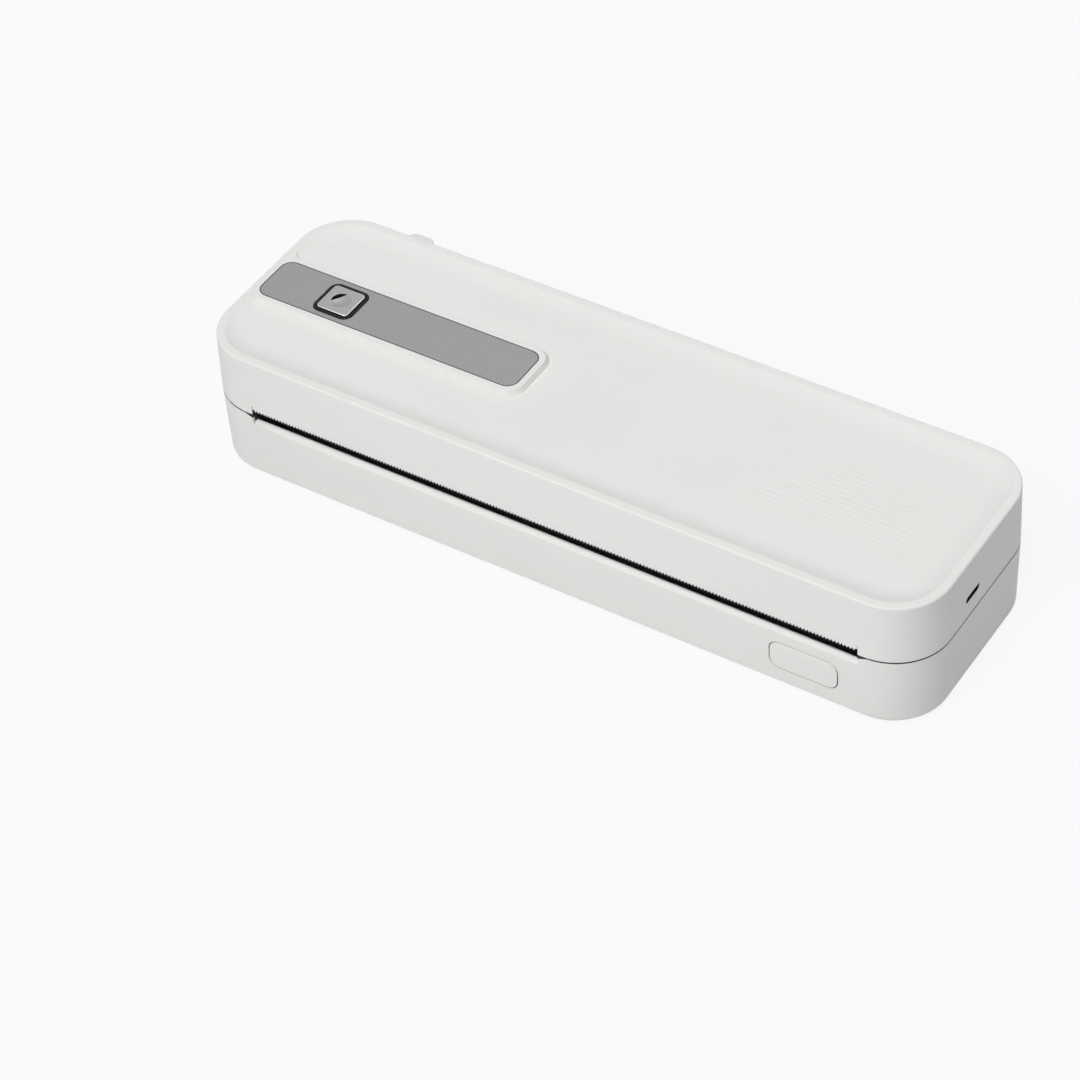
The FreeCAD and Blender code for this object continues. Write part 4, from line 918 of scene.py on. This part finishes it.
# Painted shade: a dark sleeve that lines the opening in the end wall and stands in for the shadow inside the
# port
PORT_HALF_WIDE = 4.6
PORT_HALF_TALL = 1.35
SLEEVE_CLEAR = 0.02
SLEEVE_CORNER = PORT_HALF_TALL - 0.03
SLEEVE_WALL = 0.25
SLEEVE_INNER_X = 133.7
SLEEVE_OUTER_X = 135.55
sleeve_y = PORT_HALF_WIDE - SLEEVE_CLEAR
sleeve_z = PORT_HALF_TALL - SLEEVE_CLEAR
port_shade = frame_ring("port_shade_sleeve", (SLEEVE_INNER_X, port_middle.y - sleeve_y, port_middle.z - sleeve_z),
                    (SLEEVE_OUTER_X, port_middle.y + sleeve_y, port_middle.z + sleeve_z),
                    "X", SLEEVE_CORNER, 10, SLEEVE_WALL)
close_mesh(port_shade)
dress(port_shade, "cover", [black_abs_and_shade])

# Parts on the underside of the charging board
BOARD_LET_IN = 0.05
CHIP_ROUND = 0.15
COIL_CORNER = 1.2
COIL_ROUND = 0.3
CAP_ROUND = 0.08
CAP_PLACES = ((126.0, -6.5), (126.0, -3.0), (129.4, -6.5), (129.4, -3.0), (119.0, 1.0), (122.5, 1.0))
board_z = corners("usb_board")[0].z


def board_block(name, x, y, half_x, half_y, tall):
    """Block that hangs under the charging board, open in edit mode."""
    return block(name, (x - half_x, y - half_y, board_z - tall),
                 (x + half_x, y + half_y, board_z + BOARD_LET_IN))


chip = board_block("charge_chip", x=120.5, y=-6.5, half_x=2.5, half_y=2.5, tall=1.0)
choose("EDGE", sharp_edge)
round_over(CHIP_ROUND, 2)
close_mesh(chip)
dress(chip, "cover", [chip_epoxy])
coil_body = board_block("charge_coil", x=127.0, y=-13.0, half_x=2.5, half_y=2.5, tall=2.2)
choose("EDGE", along("Z"))
round_over(COIL_CORNER, 4)
choose("EDGE", lambda edge, middle: middle.z < board_z and sharp(edge))
round_over(COIL_ROUND, 2)
close_mesh(coil_body)
dress(coil_body, "cover", [ferrite_grey])
caps = []
for x, y in CAP_PLACES:
    cap = board_block("chip_cap", x, y, half_x=0.8, half_y=0.4, tall=0.75)
    choose("EDGE", sharp_edge)
    round_over(CAP_ROUND, 1)
    close_mesh(cap)
    caps.append(cap)
caps = join_all("chip_caps", caps)
dress(caps, "cover", [cap_ceramic])


def seen_directly(tree):
    """Node that gives 1 to the camera, to mirrors and through clear parts, and 0 to soft light."""
    path = add_node(tree, "ShaderNodeLightPath", {})
    shown = add_node(tree, "ShaderNodeMath", {"operation": "MAXIMUM"},
                     {0: (path, "Is Camera Ray"), 1: (path, "Is Glossy Ray")})
    return add_node(tree, "ShaderNodeMath", {"operation": "MAXIMUM"},
                    {0: (shown, "Value"), 1: (path, "Is Transmission Ray")})


# Floor: nearly white where it is seen directly, and pale to soft light, with the shadow kept
FLOOR_WHITE_SHARE = 0.88
FLOOR_METRES = 40.0
floor_material = bpy.data.materials.new("pale_floor")
floor_material.use_nodes = True
tree = floor_material.node_tree
tree.nodes.clear()
share = add_node(tree, "ShaderNodeMath", {"operation": "MULTIPLY", 1: FLOOR_WHITE_SHARE},
                 {0: (seen_directly(tree), "Value")})
matte = add_node(tree, "ShaderNodeBsdfDiffuse", {"Color": linear("#D8D8D8")})
glow = add_node(tree, "ShaderNodeEmission", {"Strength": 1.0})
mixed = add_node(tree, "ShaderNodeMixShader", {},
                 {0: (share, "Value"), 1: (matte, "BSDF"), 2: (glow, "Emission")})
add_node(tree, "ShaderNodeOutputMaterial", {}, {"Surface": (mixed, "Shader")})
deselect_all()
bpy.ops.mesh.primitive_plane_add(size=FLOOR_METRES, location=(0, 0, 0))
floor = bpy.context.object
floor.name = "floor"
floor.data.materials.append(floor_material)

# Soft light: an even dome, a broad lamp in front, a weaker one behind and a low card before the front face
DOME_LEVEL = 0.115
LAMP_SPREAD = math.radians(50)
LAMP_ALONG = 0.574
LAMP_UP = 0.819
FRONT_LAMP_POWER = 2.29
REAR_LAMP_POWER = 0.88
CARD_POWER = 0.086
CARD_WAY = (0, -0.5, -0.87)
CARD_PLACE = Vector((0, -135.0, 6.0))
CARD_LONG = 340.0
CARD_TALL = 140.0
world = bpy.data.worlds.new("studio")
bpy.context.scene.world = world
world.use_nodes = True
tree = world.node_tree
tree.nodes.clear()
level = add_node(tree, "ShaderNodeMapRange", {"To Min": DOME_LEVEL, "To Max": 1.0},
                 {"Value": (seen_directly(tree), "Value")})
dome = add_node(tree, "ShaderNodeBackground", {}, {"Strength": (level, "Result")})
add_node(tree, "ShaderNodeOutputWorld", {}, {"Surface": (dome, "Background")})


def add_lamp(name, kind, energy, toward):
    """Lamp that shines from a direction."""
    data = bpy.data.lights.new(name, kind)
    data.energy = energy
    lamp = bpy.data.objects.new(name, data)
    bpy.context.collection.objects.link(lamp)
    lamp.rotation_euler = Vector(toward).to_track_quat("Z", "Y").to_euler()
    return lamp


add_lamp("front_lamp", "SUN", FRONT_LAMP_POWER, (0, -LAMP_ALONG, LAMP_UP)).data.angle = LAMP_SPREAD
add_lamp("rear_lamp", "SUN", REAR_LAMP_POWER, (0, LAMP_ALONG, LAMP_UP)).data.angle = LAMP_SPREAD
card = add_lamp("low_front_card", "AREA", CARD_POWER, CARD_WAY)
card.location = (BODY_SHIFT + CARD_PLACE) * MM
card.data.shape = "RECTANGLE"
card.data.size = CARD_LONG * MM
card.data.size_y = CARD_TALL * MM

# Camera fitted to the body's edges in the photograph
CAMERA_AZIMUTH = math.radians(35.14)
CAMERA_RISE = math.radians(43.60)
CAMERA_ROLL = math.radians(-4.14)
CAMERA_FAR_MM = 1187.85
CAMERA_SHIFT_MM = (-23.98, -9.09)
CAMERA_LIFT_MM = 1.4
FOCAL_PIXELS = 3586.76
FRAME_PIXELS = 1080
SENSOR_MM = 36.0

back = Vector((math.sin(CAMERA_AZIMUTH) * math.cos(CAMERA_RISE),
               -math.cos(CAMERA_AZIMUTH) * math.cos(CAMERA_RISE),
               math.sin(CAMERA_RISE)))
level_right = Vector((math.cos(CAMERA_AZIMUTH), math.sin(CAMERA_AZIMUTH), 0))
level_up = back.cross(level_right)
right = level_right * math.cos(CAMERA_ROLL) + level_up * math.sin(CAMERA_ROLL)
up = level_up * math.cos(CAMERA_ROLL) - level_right * math.sin(CAMERA_ROLL)
eye = back * CAMERA_FAR_MM + right * CAMERA_SHIFT_MM[0] + up * CAMERA_SHIFT_MM[1]
eye = (eye + Vector((0, BODY_MID_Y, CAMERA_LIFT_MM))) * MM
camera_data = bpy.data.cameras.new("camera")
camera_data.sensor_width = SENSOR_MM
camera_data.lens = FOCAL_PIXELS / FRAME_PIXELS * SENSOR_MM
camera_data.clip_start = 0.01
camera_data.clip_end = 100.0
camera = bpy.data.objects.new("camera", camera_data)
bpy.context.collection.objects.link(camera)
turned = Matrix((right, up, back)).transposed().to_4x4()
camera.matrix_world = Matrix.Translation(eye) @ turned
bpy.context.scene.camera = camera
bpy.context.scene.view_settings.view_transform = "Standard"
